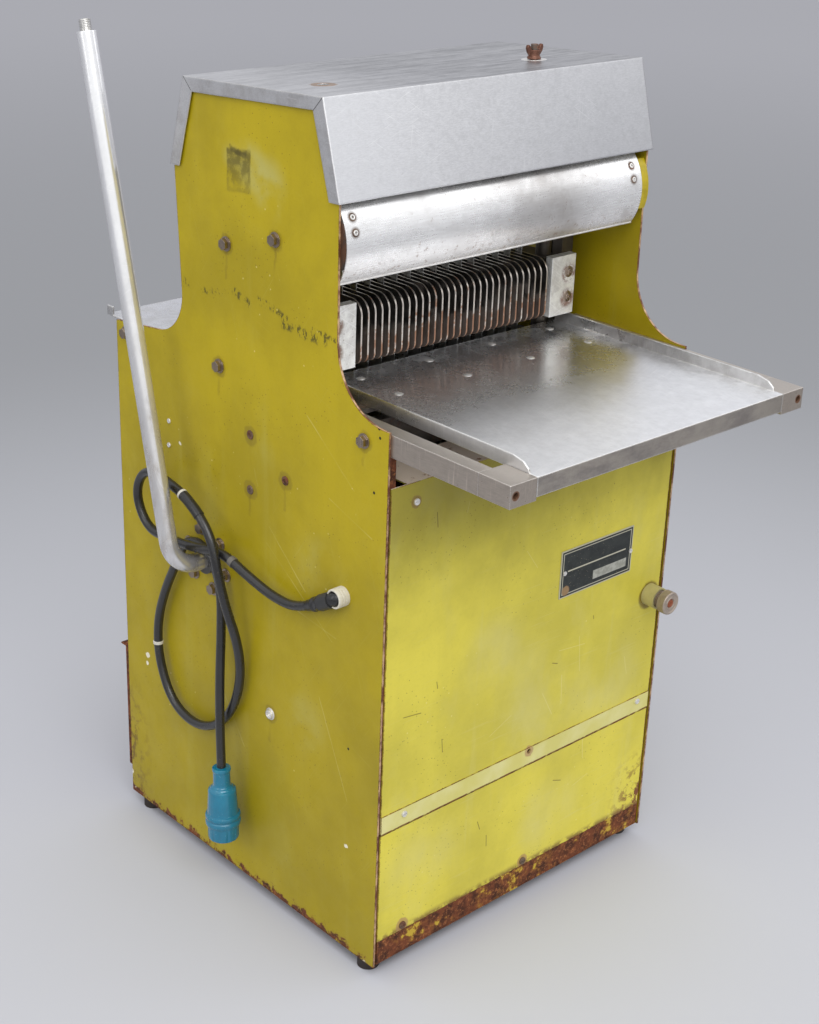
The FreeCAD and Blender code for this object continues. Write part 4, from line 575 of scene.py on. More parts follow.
def dark_steel_finish(name, color, rust_share=0.5, rough=0.45, metallic=0.8):
    """Dull steel with rust in clouds."""
    s = Shader(name)
    brown, grain = rust(s, 60)
    cloud = s.patch(0.72 - 0.4 * rust_share, 0.84 - 0.3 * rust_share, 22, 5, 0.65)
    s.tone = s.mix(s.patch(0.3, 0.7, 60, 4), scaled(color, 0.75), color)
    s.bump(grain, 0.2, 0.0004, s.soft_normal(0.0008))
    return s.finish(s.mix(cloud, s.tone, brown), s.blend(cloud, rough, 0.85), s.blend(cloud, metallic, 0.1))


def bracket_finish():
    """The hood's brackets: dark at the left as painted shade in the gap by the hood's end, painted as the side
    sheet is at the right.
    """
    s = Shader("hood_bracket_steel")
    side = s.band(s.x, -0.05, 0.05)
    cloud = s.noise(40, 5, 0.65)
    # Painted shade: the left bracket is dark brown-grey.
    dark = s.mix(s.band(cloud, 0.4, 0.62), srgb(60, 50, 44), srgb(92, 62, 44))
    pale = s.mix(s.band(cloud, 0.4, 0.65), OLIVE, scaled(OLIVE, 0.7))
    s.bump(cloud, 0.15, 0.0004)
    return s.finish(s.mix(side, dark, pale), s.blend(side, 0.6, 0.45), s.blend(side, 0.4, 0.0))


def plate_finish():
    """Comb plates: dark oily faces with rust at their feet, and narrow edges worn bright."""
    s = Shader("comb_plate_steel")
    grain = rust(s, 70)[1]
    low = s.band(s.z, 0.865, 0.805)
    cloud = s.add(s.noise(26, 5, 0.65), s.times(low, 0.22))
    rusted = s.band(cloud, 0.52, 0.66)
    face = s.mix(s.patch(0.3, 0.7, 50, 4), srgb(92, 88, 84), srgb(134, 130, 126))
    face = s.mix(s.times(rusted, 0.75), face, srgb(74, 58, 48))
    narrow = s.band(s.size(s.facing(0)), 0.85, 0.5)
    edge_rust = s.band(s.add(s.noise(45, 5, 0.7), s.times(low, 0.18)), 0.56, 0.66)
    edge = s.mix(edge_rust, srgb(206, 198, 188), srgb(146, 108, 84))
    s.bump(grain, 0.15, 0.0003)
    rough = s.blend(narrow, s.band(rusted, 0, 1, 0.34, 0.8), 0.34)
    metallic = s.blend(narrow, s.band(rusted, 0, 1, 0.9, 0.1), s.band(edge_rust, 0, 1, 0.85, 0.3))
    return s.finish(s.mix(narrow, face, edge), rough, metallic)


def plain_finish(name, color, rough=0.5, grain=0.2, scale=90, wear=None, metallic=0.0, dust=None, coat=0.0):
    """Plastic, rubber or fresh paint: one colour with a faint cloud, scuffs and a fine grain."""
    s = Shader(name)
    cloud = s.noise(30, 4, 0.6)
    fine = s.noise(scale, 4, 0.6)
    s.tone = s.mix(s.band(cloud, 0.35, 0.7), scaled(color, 0.82), color)
    if wear:
        scuff = s.patch(0.60, 0.72, 45, 6, 0.7, stretch=(1, 1, 0.5))
        s.lay(scuff, 0.6, wear)
    if dust:
        specks = s.most(s.specks(260, 0.14, 0.2), s.patch(0.70, 0.74, 120, 5, 0.75))
        s.lay(specks, 0.7, dust)
    s.bump(fine, grain, 0.0004, s.soft_normal(0.0006))
    s.put(s.bsdf.inputs["Coat Weight"], coat)
    s.put(s.bsdf.inputs["Coat Roughness"], 0.08)
    return s.finish(s.tone, s.band(cloud, 0.3, 0.7, rough * 0.85, rough * 1.15), metallic)


def label_finish():
    """A blank dark plate with a pale border line, one rule and a pale empty field."""
    s = Shader("dark_label")
    wide, tall = 145.2, 70
    left, low = 317.5, 469

    def inside(margin):
        return s.rectangle(s.x, s.z, front_spot(left + margin, low + margin),
                           front_spot(left + wide - margin, low + tall - margin), 0.0006)

    grime = s.noise(60, 5, 0.7)
    ground = s.mix(s.band(grime, 0.35, 0.65), srgb(26, 30, 29), srgb(50, 54, 52))
    rim = s.less(1.0, inside(1.6))
    line = s.less(inside(4.2), inside(5.4))
    rule = s.rectangle(s.x, s.z, front_spot(left + 14, low + 37), front_spot(left + wide - 14, low + 39), 0.0006)
    field = s.rectangle(s.x, s.z, front_spot(left + 66, low + 11), front_spot(left + 134, low + 24), 0.0008)
    pale = srgb(204, 200, 178)
    s.tone = s.mix(s.times(s.most(line, rule), 0.85), ground, pale)
    s.coat(field, s.mix(s.patch(0.4, 0.6, 110, 4), srgb(176, 176, 166), srgb(150, 150, 140)))
    s.coat(rim, srgb(190, 186, 160))
    chip = s.disc(s.add(s.x, s.times(s.less(grime, 0.5), 0.01)), s.z, front_spot(left + 12, low + 10), 0.006, 0.002)
    s.coat(chip, srgb(150, 120, 84))
    s.lay(s.specks(240, 0.14, 0.22), 0.7, srgb(168, 160, 130))
    s.bump(s.add(s.times(line, 0.5), field), 0.3, 0.0005)
    return s.finish(s.tone, s.band(grime, 0.3, 0.7, 0.35, 0.55), 0.0, 0.4)


def tray_marks(s):
    """The table sheet: clouds, a dirty front fold, dull lips, smears right and back, paler to the front, and a
    painted highlight along its edges.
    """
    wander = s.wander(0.06, 14, 5, 0.7)
    right = s.band(s.add(s.x, wander), 0.205, 0.245)
    back = s.band(s.add(s.y, wander), -0.060, 0.000)
    smear = s.times(s.most(s.times(right, 0.7), s.times(back, 0.6)), s.patch(0.42, 0.62, 40, 5, 0.7))
    cloud = s.patch(0.40, 0.68, 6, 6, 0.65, stretch=(1, 1.6, 1))
    s.lay(cloud, 0.22, srgb(244, 244, 248))
    fold = s.band(s.facing(1), -0.6, -0.9)
    fold_tone = s.mix(s.patch(0.38, 0.66, 34, 5, 0.7, stretch=(0.4, 1, 1)), srgb(146, 134, 118), srgb(98, 84, 70))
    s.lay(fold, 0.8, fold_tone)
    lip = s.band(s.size(s.facing(0)), 0.6, 0.9)
    s.lay(lip, 0.35, srgb(132, 124, 114))
    # Painted highlight: near-white along the sheet's edges and folds.
    s.lay(s.edge(0.0032, 0.05, 0.25), 0.9, srgb(252, 251, 248))
    haze = s.band(s.y, -0.12, -0.34, 0.0, 0.30)
    s.lay(smear, 0.35, srgb(120, 112, 104))
    s.dull = s.most(haze, s.times(smear, 0.3))


def block_marks(s):
    """Rust round the holes of the corner blocks, freckles of it along the arms, and a painted highlight on the
    faces that look up, which also stands for wear on their tops.
    """
    ring = 0.0
    for hole in (12.3, 527.7):
        ring = s.most(ring, s.disc(s.x, s.z, front_spot(hole, 766), 0.0052, 0.0014))
    ring = s.times(ring, s.band(s.y, -0.380, -0.385))
    freckle = s.patch(0.66, 0.70, 120, 6, 0.75)
    mask = s.most(ring, s.times(freckle, 0.6))
    # Painted highlight, with some wear: the faces that look up are made paler, as light from above would make them.
    bright = s.times(s.band(s.facing(2), 0.6, 0.9), 0.45)
    s.coat(bright, srgb(222, 216, 208))
    s.coat(mask, srgb(104, 72, 52))
    s.dull = s.most(s.dull, mask)


def end_plate_marks(s):
    """Rust stains that spread round the screws of the comb's end plates."""
    stain = 0.0
    for across, up in COMB_SCREWS:
        stain = s.most(stain, s.disc(s.x, s.z, front_spot(across, up - 2), 0.0105, 0.006))
    ragged = s.times(stain, s.patch(0.36, 0.56, 110, 5, 0.75))
    s.lay(ragged, 0.85, srgb(112, 72, 48))
    s.dull = s.most(s.dull, ragged)


def cover_marks(s):
    """The cover: dark streaks on top, grimy flanges, a front face with a painted highlight to the left and painted
    shade to the right, rust at a hole.
    """
    top = s.band(s.facing(2), 0.7, 0.95)
    streak = s.patch(0.36, 0.66, 11, 7, 0.75, stretch=(1.2, 9, 1))
    left = s.band(s.x, -0.02, -0.24)
    s.lay(top, s.blend(streak, s.blend(left, 0.28, 0.0), s.blend(left, 0.70, 0.26)), srgb(98, 99, 104))
    side = s.band(s.size(s.facing(0)), 0.6, 0.9)
    grime = s.patch(0.42, 0.66, 30, 6, 0.7)
    s.lay(side, s.blend(grime, 0.04, 0.26), srgb(124, 112, 98))
    # Painted light: the front face is made paler to the left and greyer to the right.
    front = s.band(s.facing(1), -0.7, -0.9)
    s.lay(front, s.band(s.x, -0.02, -0.26, 0.0, 0.36), srgb(250, 251, 254))
    s.lay(front, s.band(s.x, -0.14, 0.24, 0.0, 0.32), srgb(124, 126, 132))
    hole = s.disc(s.x, s.y, ((FREE_HOLE_X - LEFT_EDGE) * MM, (LID_Y - FRONT_EDGE) * MM), 0.0155, 0.003)
    stain = s.times(s.times(hole, top), s.patch(0.35, 0.6, 90, 5, 0.7))
    s.lay(stain, 0.75, srgb(128, 96, 76))
    s.dull = s.most(s.dull, s.times(stain, 0.6))


def hood_marks(s):
    """The hood: rust freckles, grease with painted shade that grows to the right, browner towards its lower edge, a
    painted shade right of its middle, dirt round its screws.
    """
    low = s.band(s.z, 0.985, 0.935)
    amount = s.add(s.noise(120, 6, 0.75), s.times(low, 0.07))
    freckle = s.band(amount, 0.62, 0.70)
    # Grease patches, laid more strongly to the right, where they also stand for painted shade.
    grease_and_shade = s.times(s.patch(0.48, 0.68, 16, 6, 0.7), s.band(s.x, -0.15, 0.25, 0.35, 0.9))
    s.lay(grease_and_shade, 0.36, srgb(150, 140, 130))
    s.lay(low, 0.25, srgb(150, 132, 116))
    # Painted shade: a grey band right of the hood's middle.
    shadow = s.times(s.band(s.x, -0.10, 0.06), s.band(s.x, 0.24, 0.12))
    s.lay(shadow, s.band(s.noise(12, 5, 0.6), 0.30, 0.60, 0.15, 0.5), srgb(140, 134, 130))
    for across, rise in HOOD_SCREWS:
        deep = -math.sqrt(HOOD_RADIUS ** 2 - rise ** 2) + HOOD_AXIS[0] - FRONT_EDGE
        aside, up = front_spot(across, HOOD_AXIS[1] + rise)
        away = s.length(s.less(s.x, aside), s.less(s.z, up), s.less(s.y, deep * MM))
        s.lay(s.band(away, 0.0085, 0.0055), 0.55, srgb(96, 72, 54))
    s.lay(freckle, 0.6, srgb(128, 98, 76))
    s.dull = s.most(s.dull, s.times(freckle, 0.5))


def lever_marks(s):
    """The lever's lower length: painted shade that grows darker towards the bottom, duller, with brown finger
    marks.
    """
    wander = s.wander(0.25, 9, 4)
    low = s.band(s.add(s.z, wander), 0.95, 0.60)
    stain = s.patch(0.44, 0.66, 38, 5, 0.7, stretch=(1, 1, 0.35))
    # Painted shade, with brown finger marks: the lower length is laid over with a darker brown.
    s.lay(low, s.blend(stain, 0.22, 0.60), srgb(132, 118, 104))
    s.dull = s.most(s.dull, s.times(s.times(low, stain), 0.25))


MATERIALS = {
    "olive_left": paint_finish("olive_enamel", OLIVE, OLIVE_HAZE, left_marks, 0.030),
    # The right side and rear sheets wear darker copies of the olive paint: painted shade for the sides turned away
    # from the light.
    "olive": paint_finish("olive_enamel_plain_shaded", scaled(OLIVE, 0.76), scaled(OLIVE_HAZE, 0.76), plain_marks, 0.030),
    "olive_rear": paint_finish(
        "olive_enamel_rear_shaded", scaled(OLIVE, 0.84), scaled(OLIVE_HAZE, 0.84), rear_marks, 0.030,
    ),
    "ochre": paint_finish("ochre_enamel", OCHRE, OCHRE_HAZE, front_marks, 0.02, 0.32, 0.05),
    "cover": steel_finish(
        "stainless_cover", (0.675, 0.675, 0.69), (0.28, 0.44), (3, 12, 12), 60, 0.02, 0.25, axis=1,
        round_edge=0.0028, marks=cover_marks, metallic=0.84, relief=0.08, scratch=0.2, painted_edge_highlight=0.9,
    ),
    "hood": steel_finish(
        "stainless_hood", (0.95, 0.943, 0.937), (0.22, 0.38), (1, 14, 14), 40, 0.08, 0.6, axis=1, marks=hood_marks,
        metallic=0.66, relief=0.08, scratch=0.5,
    ),
    "tray": steel_finish(
        "stainless_tray", (0.87, 0.875, 0.895), (0.19, 0.31), (1.4, 1, 1.2), 70, 0.0, 0.0, round_edge=0.0030,
        scratch=1.0, marks=tray_marks, metallic=0.95, contrast=0.06, relief=0.012,
    ),
    "arm": steel_finish(
        "brushed_arm", (0.46, 0.40, 0.345), (0.28, 0.44), (16, 1, 16), 60, 0.08, 0.8, round_edge=0.0022,
        marks=block_marks, metallic=0.85, relief=0.07, painted_edge_highlight=0.6,
    ),
    "lever": steel_finish(
        "polished_lever", (0.86, 0.86, 0.88), (0.13, 0.22), (1, 1, 0.2), 30, 0.03, 0.25, axis=0, relief=0.02,
        metallic=0.68, contrast=0.05, marks=lever_marks,
    ),
    "rod": steel_finish(
        "polished_rod", (0.66, 0.65, 0.63), (0.2, 0.34), (30, 30, 1), 60, 0.05, 0.2, axis=0, relief=0.04,
    ),
    "blade": steel_finish("blade_steel", (0.70, 0.70, 0.68), (0.25, 0.35), (1, 1, 0.1), 60, 0.05, 0.1, axis=0),
    "end_plate": steel_finish(
        "end_plate", (0.84, 0.82, 0.79), (0.36, 0.50), (1, 1, 1), 40, 0.34, 1.0, axis=1, marks=end_plate_marks,
        metallic=0.5, contrast=0.22, dirt_color=srgb(150, 124, 98),
    ),
    "bolt": steel_finish(
        "bolt_steel", (0.36, 0.29, 0.235), (0.26, 0.40), (1, 1, 1), 90, 0.34, 0.6, round_edge=0.0010,
        dirt_color=srgb(88, 58, 40),
    ),
    "bright_screw": steel_finish(
        "screw_zinc", (0.86, 0.84, 0.81), (0.28, 0.40), (1, 1, 1), 90, 0.06, 0.3, round_edge=0.0007, metallic=0.75,
    ),
    "knob": steel_finish(
        "knob_steel", (0.42, 0.35, 0.29), (0.26, 0.40), (1, 1, 1), 120, 0.22, 0.7, round_edge=0.0008,
        dirt_color=srgb(92, 60, 40), metallic=0.5,
    ),
    "bracket": bracket_finish(),
    "dark_screw": dark_steel_finish("screw_rusty", (0.20, 0.14, 0.10), 0.7, 0.5, 0.6),
    "dark_steel": dark_steel_finish("dark_steel", (0.16, 0.14, 0.12), 0.5, 0.5),
    "iron": dark_steel_finish("cast_iron", (0.10, 0.095, 0.09), 0.3, 0.65, 0.4),
    "rust": rust_finish("rusted_steel"),
    "kick": rust_finish("rusted_kick_plate", srgb(190, 160, 50), 0.055),
    "comb": plate_finish(),
    "rubber": plain_finish(
        "cord_rubber", (0.019, 0.0185, 0.019), 0.30, 0.3, 200, srgb(70, 66, 62), 0.0, srgb(128, 112, 92), coat=0.25,
    ),
    "tape": plain_finish("black_tape", (0.020, 0.020, 0.021), 0.30, 0.2, 200, srgb(60, 60, 60)),
    "worn_rubber": plain_finish("worn_rubber", srgb(108, 104, 98), 0.5, 0.2, 200, srgb(70, 68, 66)),
    "tie": plain_finish("white_tie", srgb(214, 210, 200), 0.5, 0.1, 200),
    "foot": plain_finish("foot_rubber", (0.030, 0.022, 0.018), 0.8, 0.5, 120, RUST_DARK),
    "belt": plain_finish("belt_rubber", (0.025, 0.024, 0.022), 0.75, 0.4, 150, srgb(60, 56, 52)),
    "blue": plain_finish(
        "blue_plastic", srgb(0, 118, 150), 0.22, 0.08, 120, srgb(10, 134, 162), 0.0, srgb(120, 190, 206), coat=0.7,
    ),
    "pale": plain_finish("pale_plastic", srgb(226, 220, 204), 0.5, 0.2, 120, srgb(176, 156, 128)),
    "dark_plastic": plain_finish("dark_plastic", (0.03, 0.03, 0.03), 0.45, 0.2, 120, srgb(70, 70, 70)),
    "label": label_finish(),
    "motor": plain_finish("motor_paint", srgb(66, 78, 76), 0.5, 0.3, 60, srgb(96, 100, 94)),
    "collar": plain_finish("painted_collar", srgb(190, 180, 122), 0.45, 0.2, 120, srgb(112, 84, 48)),
    "stained_steel": plain_finish("stained_steel", srgb(160, 138, 122), 0.45, 0.3, 220, srgb(104, 76, 60), 0.5),
    "copper": plain_finish("copper_stain", srgb(150, 84, 56), 0.55, 0.4, 220, srgb(70, 44, 32), 0.4),
    "bronze": plain_finish("wing_nut_bronze", srgb(116, 80, 66), 0.42, 0.6, 160, srgb(56, 38, 30), 0.7),
    "seam": plain_finish("dark_seam", srgb(44, 40, 36), 0.8, 0.1, 100),
}

# The CAD nodes that wear each finish.
NODE_FINISH = {
    "olive_left": "left_side_panel",
    "olive": "right_side_panel",
    "ochre": "upper_front_panel lower_front_panel",
    "kick": "kick_plate",
    "rust": "base_frame rear_access_cover motor_plate",
    "foot": "rubber_feet",
    "olive_rear": "rear_panel",
    "cover": "top_cover",
    "dark_steel": (
        "cover_bridge tray_bearers table_cross_rails comb_posts comb_yoke drive_arms front_blade_frame "
        "rear_blade_frame"
    ),
    "bronze": "wing_nut",
    "hood": "blade_hood",
    "bracket": "hood_brackets",
    "arm": "table_arms table_corner_blocks",
    "tray": "front_tray rear_infeed_tray",
    "bright_screw": "tray_rivets round_head_screws",
    "rod": "carriage_guide_rods carriage_drive_pins lever_stud blade_guide_rods crankshaft motor_shaft",
    "comb": "comb_plates",
    "end_plate": "comb_end_plates",
    "dark_screw": "comb_screws",
    "iron": (
        "comb_carriage shaft_bearings guide_rod_brackets crank_bearings front_connecting_rods "
        "rear_connecting_rods crank_pulley motor_pulley"
    ),
    "lever": "lever lever_shaft",
    "blade": "front_blades rear_blades",
    "belt": "drive_belt",
    "motor": "motor",
    "label": "blank_nameplate",
    "collar": "switch_collar",
    "knob": "switch_knob",
    "dark_plastic": "switch_block gland_nut",
    "pale": "cable_gland",
    "rubber": "power_cord",
    "blue": "mains_plug",
    "bolt": "hex_bolts",
}

# CAD nodes whose edges are rounded by a modifier, under the width of the round in millimetres.
SOFT_EDGES = {
    0.6: "top_cover cable_gland rear_access_cover rear_infeed_tray",
    0.7: "front_tray switch_collar",
    1.2: "table_arms table_corner_blocks",
    0.5: "hex_bolts lever left_side_panel right_side_panel lower_front_panel kick_plate",
    0.8: "comb_end_plates gland_nut",
    0.4: "blank_nameplate upper_front_panel comb_plates",
}


def soften(piece, width):
    """Round a piece's edges with a modifier, without touching its mesh."""
    bevel = piece.modifiers.new("soft_edges", "BEVEL")
    bevel.width = width
    bevel.segments = 2
    bevel.limit_method = "ANGLE"
    return bevel


def dress_nodes():
    """Give every CAD node its finish, and soften the edges of some."""
    for finish, names in NODE_FINISH.items():
        for name in names.split():
            materials = NODES[name].data.materials
            materials.clear()
            materials.append(MATERIALS[finish])
    for width, names in SOFT_EDGES.items():
        for name in names.split():
            soften(NODES[name], width * MM).angle_limit = math.radians(40)


dress_nodes()


# Cord
CORD_RADIUS = 0.0065
GLAND_ELBOW = (-13, 75.7, 543.7)
GLAND_ANGLE = math.radians(31)
CORD_ROUTE = (
    (-15, 195, 499), (-20, 245, 513), (-23, 298, 530), (-29.5, 350, 518), (-29.5, 406, 511),
    (-29.5, 460, 507.5), (-30, 487.5, 553), (-31, 461, 598), (-34, 407, 600), (-37, 350, 591),
    (-37, 302, 557), (-37, 287, 504), (-29, 280, 452), (-18, 271, 405), (-12, 270, 352),
    (-12, 287, 293), (-12, 325, 246), (-12, 380, 222), (-12, 436, 236), (-12, 466, 292),
    (-12, 468, 352), (-13, 446, 412), (-15.5, 411, 471), (-15.5, 385.8, 517), (-15.5, 333.5, 517),
    (-15.5, 309, 471), (-17, 308, 405), (-22, 305, 350), (-27, 300, 300), (-31, 294, 250), (-32, 291, 204),
)


def gland_point(distance):
    """A point on the gland's outlet line, a distance beyond its elbow."""
    x, y, z = GLAND_ELBOW
    return at(x, y + distance * math.cos(GLAND_ANGLE), z - distance * math.sin(GLAND_ANGLE))


def cord_curve(name, bevel):
    """The cord's line as one smooth spline, with or without its thickness."""
    points = [gland_point(30), gland_point(82)] + [at(*point) for point in CORD_ROUTE]
    data = bpy.data.curves.new(name, "CURVE")
    data.dimensions = "3D"
    spline = data.splines.new("NURBS")
    spline.points.add(len(points) - 1)
    for target, point in zip(spline.points, points):
        target.co = (*point, 1)
    spline.order_u = 3
    spline.use_endpoint_u = True
    data.resolution_u = 10 if bevel else 60
    if bevel:
        data.bevel_depth = CORD_RADIUS
        data.bevel_resolution = 6
    return bpy.data.objects.new(name, data)


def settle(piece, body, slot, finish, replaced=()):
    """Link a new piece into the scene, with its finish, body and the nodes that it stands for. Its slot argument is
    not used.
    """
    bpy.context.scene.collection.objects.link(piece)
    piece.data.materials.append(MATERIALS[finish])
    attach(piece, body)
    if replaced:
        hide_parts(*replaced)
    return piece


def mesh_piece(name, made, body, slot, finish, replaced=(), smooth=True):
    """A piece from a finished bmesh."""
    bmesh.ops.remove_doubles(made, verts=made.verts, dist=1e-6)
    bmesh.ops.recalc_face_normals(made, faces=made.faces)
    mesh = bpy.data.meshes.new(name)
    made.to_mesh(mesh)
    made.free()
    if smooth:
        mesh.shade_smooth()
        mesh.set_sharp_from_angle(angle=math.radians(38))
    return settle(bpy.data.objects.new(name, mesh), body, slot, finish, replaced)


def turned(direction):
    """The rotation that takes +Z into a direction."""
    return direction.to_track_quat("Z", "Y").to_matrix()


def hoop(made, place, direction, reach, lift=0.0, steps=48):
    """A ring of points round a line. Its reach is a radius, or a function of the step and the lift."""
    turn = turned(direction)
    found = []
    for step in range(steps):
        angle = 2 * math.pi * step / steps
        wide = reach(step, lift) if callable(reach) else reach
        found.append(made.verts.new(place + turn @ Vector((wide * math.cos(angle), wide * math.sin(angle), lift))))
    return found


def skin(made, rings, low_end=False, high_end=False):
    """Faces from each ring to the next, and over the open ends where asked."""
    for low, high in zip(rings, rings[1:]):
        for step, corner in enumerate(low):
            following = (step + 1) % len(low)
            made.faces.new((corner, low[following], high[following], high[step]))
    if low_end:
        made.faces.new(rings[0])
    if high_end:
        made.faces.new(rings[-1])


def lathe(made, profile, origin, direction, steps=48, ripple=None):
    """Turn a profile of radius and height pairs, in millimetres, about a line; a radius of 0 closes an end."""
    rings = []
    for radius, height in profile:
        wide = radius * MM
        if radius and ripple:
            wide = lambda step, lift, radius=radius: radius * MM - ripple(step, lift)
        if radius:
            rings.append(hoop(made, origin, direction, wide, height * MM, steps))
    skin(made, rings, profile[0][0] == 0, profile[-1][0] == 0)


def turned_piece(name, shape, finish, slot, body="case", replaced=()):
    """A piece that is one turned profile, from what lathe needs."""
    made = bmesh.new()
    lathe(made, *shape)
    return mesh_piece(name, made, body, slot, finish, replaced)


def block(made, centre, axes, size):
    """A box with its middle, its three directions and its lengths along them."""
    corners = []
    ring = ((-1, -1), (1, -1), (1, 1), (-1, 1))
    for side in [(*pair, end) for end in (-1, 1) for pair in ring]:
        offset = Vector()
        for axis, length, sign in zip(axes, size, side):
            offset += axis * (length * sign / 2)
        corners.append(made.verts.new(centre + offset))
    for face in ((0, 1, 2, 3), (4, 5, 6, 7), (0, 1, 5, 4), (1, 2, 6, 5), (2, 3, 7, 6), (3, 0, 4, 7)):
        made.faces.new([corners[index] for index in face])


def cord_line():
    """Points read from the cord's spline, with their distances from the gland."""
    ruler = cord_curve("cord_ruler", False)
    mesh = bpy.data.meshes.new_from_object(ruler)
    points = [vertex.co.copy() for vertex in mesh.vertices]
    bpy.data.meshes.remove(mesh)
    bpy.data.objects.remove(ruler)
    reach = [0.0]
    for before, after in zip(points, points[1:]):
        reach.append(reach[-1] + (after - before).length)
    return points, reach


def sleeve(name, shape, finish, slot):
    """A band round the cord from pairs of distance from the gland and radius, in millimetres."""
    points, reach = cord_line()
    made = bmesh.new()
    rings = []
    for distance, wide in shape:
        index = min(range(len(reach)), key=lambda place: abs(reach[place] - distance * MM))
        ahead = points[min(index + 1, len(points) - 1)] - points[max(index - 1, 0)]
        rings.append(hoop(made, points[index], ahead.normalized(), wide * MM, 0, 32))
    skin(made, rings)
    return mesh_piece(name, made, "case", slot, finish)


def band_shape(start, end, wide):
    """A plain band's distances and radii, stepped finely so that it bends with the cord."""
    count = max(2, round((end - start) / 3))
    inner = [(start + (end - start) * part / count, wide) for part in range(count + 1)]
    return [(start - 0.4, CORD_RADIUS / MM - 0.2), *inner, (end + 0.4, CORD_RADIUS / MM - 0.2)]


STRAIN_RELIEF = (
    (0, 10.2), (2, 10.6), (4, 9.8), (8, 9.4), (12, 9.1), (13.5, 9.8), (16, 9.8), (17.5, 8.8), (24, 8.0), (30, 7.4),
    (32, 6.4),
)
PLUG_TOP = (-32, 291, 204)
PLUG_FROM = (-31, 294, 250)
PLUG_PROFILE = (
    (0, 0), (10.5, 0), (12.8, 0.5), (13.3, 1.8), (13.3, 4.6), (12.8, 6), (12.2, 6.8), (12.3, 26), (12.8, 28.4),
    (14.2, 29.6), (15.4, 29.9), (15.9, 31), (17.4, 32.6), (19.0, 33.2), (19.8, 34.6), (20.0, 36.5), (22.0, 69),
    (22.3, 70.6), (24.4, 71.4), (25, 72.8), (25, 76), (24.4, 77.2), (23.4, 78), (23.4, 79.6), (24.4, 80.4),
    (25, 81.6), (25, 86.4), (24.2, 88), (22.4, 88.8), (22, 90), (21.8, 107), (21, 109.8), (19, 111.4),
    (16.5, 111.6), (15.5, 110), (14.6, 103), (0, 103),
)


def make_plug():
    """The round mains plug: neck, shoulder, two rings and a slotted lower rim."""
    top = at(*PLUG_TOP)
    way = (top - at(*PLUG_FROM)).normalized()

    def slots(step, height):
        return 0.0016 if 0.0912 < height < 0.1085 and step % 8 < 2 else 0.0

    fine = []
    for (r0, h0), (r1, h1) in zip(PLUG_PROFILE, PLUG_PROFILE[1:]):
        fine.append((r0, h0))
        if r0 and r1 and h1 - h0 > 9:
            for part in (0.04, 0.06, 0.94, 0.96):
                fine.append((r0 + (r1 - r0) * part, h0 + (h1 - h0) * part))
    fine.append(PLUG_PROFILE[-1])
    return turned_piece("round_plug", (fine, top, way, 96, slots), "blue", "blue_plastic", replaced=["mains_plug"])


def make_cord():
    """The mains cord with its plug and the bands that are wound round it."""
    cord = settle(cord_curve("mains_cord", True), "case", "cord_rubber", "rubber", ["power_cord"])
    pieces = [make_plug(), sleeve("strain_relief", STRAIN_RELIEF, "tape", "cord_rubber")]
    for name, start, end, wide, finish, slot in (
        ("worn_ring", 180, 187, 7.3, "worn_rubber", "cord_rubber"),
        ("tape_band", 560, 600, 7.4, "tape", "cord_rubber"),
        ("white_mark", 556, 559.5, 7.6, "tie", "pale_paint"),
        ("white_tie", 1160, 1164, 7.4, "tie", "pale_paint"),
    ):
        pieces.append(sleeve(name, band_shape(start, end, wide), finish, slot))
    gland_point(30)


make_cord()


# Screws
def recess_radius(kind, angle, size):
    """How far the driver's recess reaches at an angle: a hexagon socket, a slot, or a plain round hole."""
    if kind == "hexagon":
        return size * math.cos(math.pi / 6) / math.cos((angle % (math.pi / 3)) - math.pi / 6)
    if kind == "slot":
        return 1 / max(abs(math.cos(angle)) / (size * 1.6), abs(math.sin(angle)) / (size * 0.28))
    return size


def screw_head(made, place, direction, radius, rise, kind, recess, depth):
    """A round head with a bevelled rim and a real recess for its driver."""
    def socket(step, lift):
        reach = min(recess_radius(kind, 2 * math.pi * step / 48, recess), radius * 0.93)
        return reach if lift == rise else reach * 0.97

    head = ((radius, 0), (radius, rise * 0.55), (radius * 0.94, rise * 0.85))
    shape = (*head, (socket, rise), (socket, rise - depth))
    skin(made, [hoop(made, place, direction, reach, lift) for reach, lift in shape], False, True)


SIDE_SOCKETS = ((263.9, 700.2), (264.2, 623.7), (191.9, 660.2))
CRANK_SCREW = (221.5, 308.7)
SMALL_SIDE = ((443.8, 665.3), (445.1, 629.9))
FRONT_HEADS = ((48, 684, 0), (46, 243, 0.8), (507, 244, 0.8))
KICK_HEADS = ((51, 64), (282, 64))
LABEL_HEADS = ((325, 506), (459.3, 501))
CASE_WIDTH, COMB_FACE = 540, 165


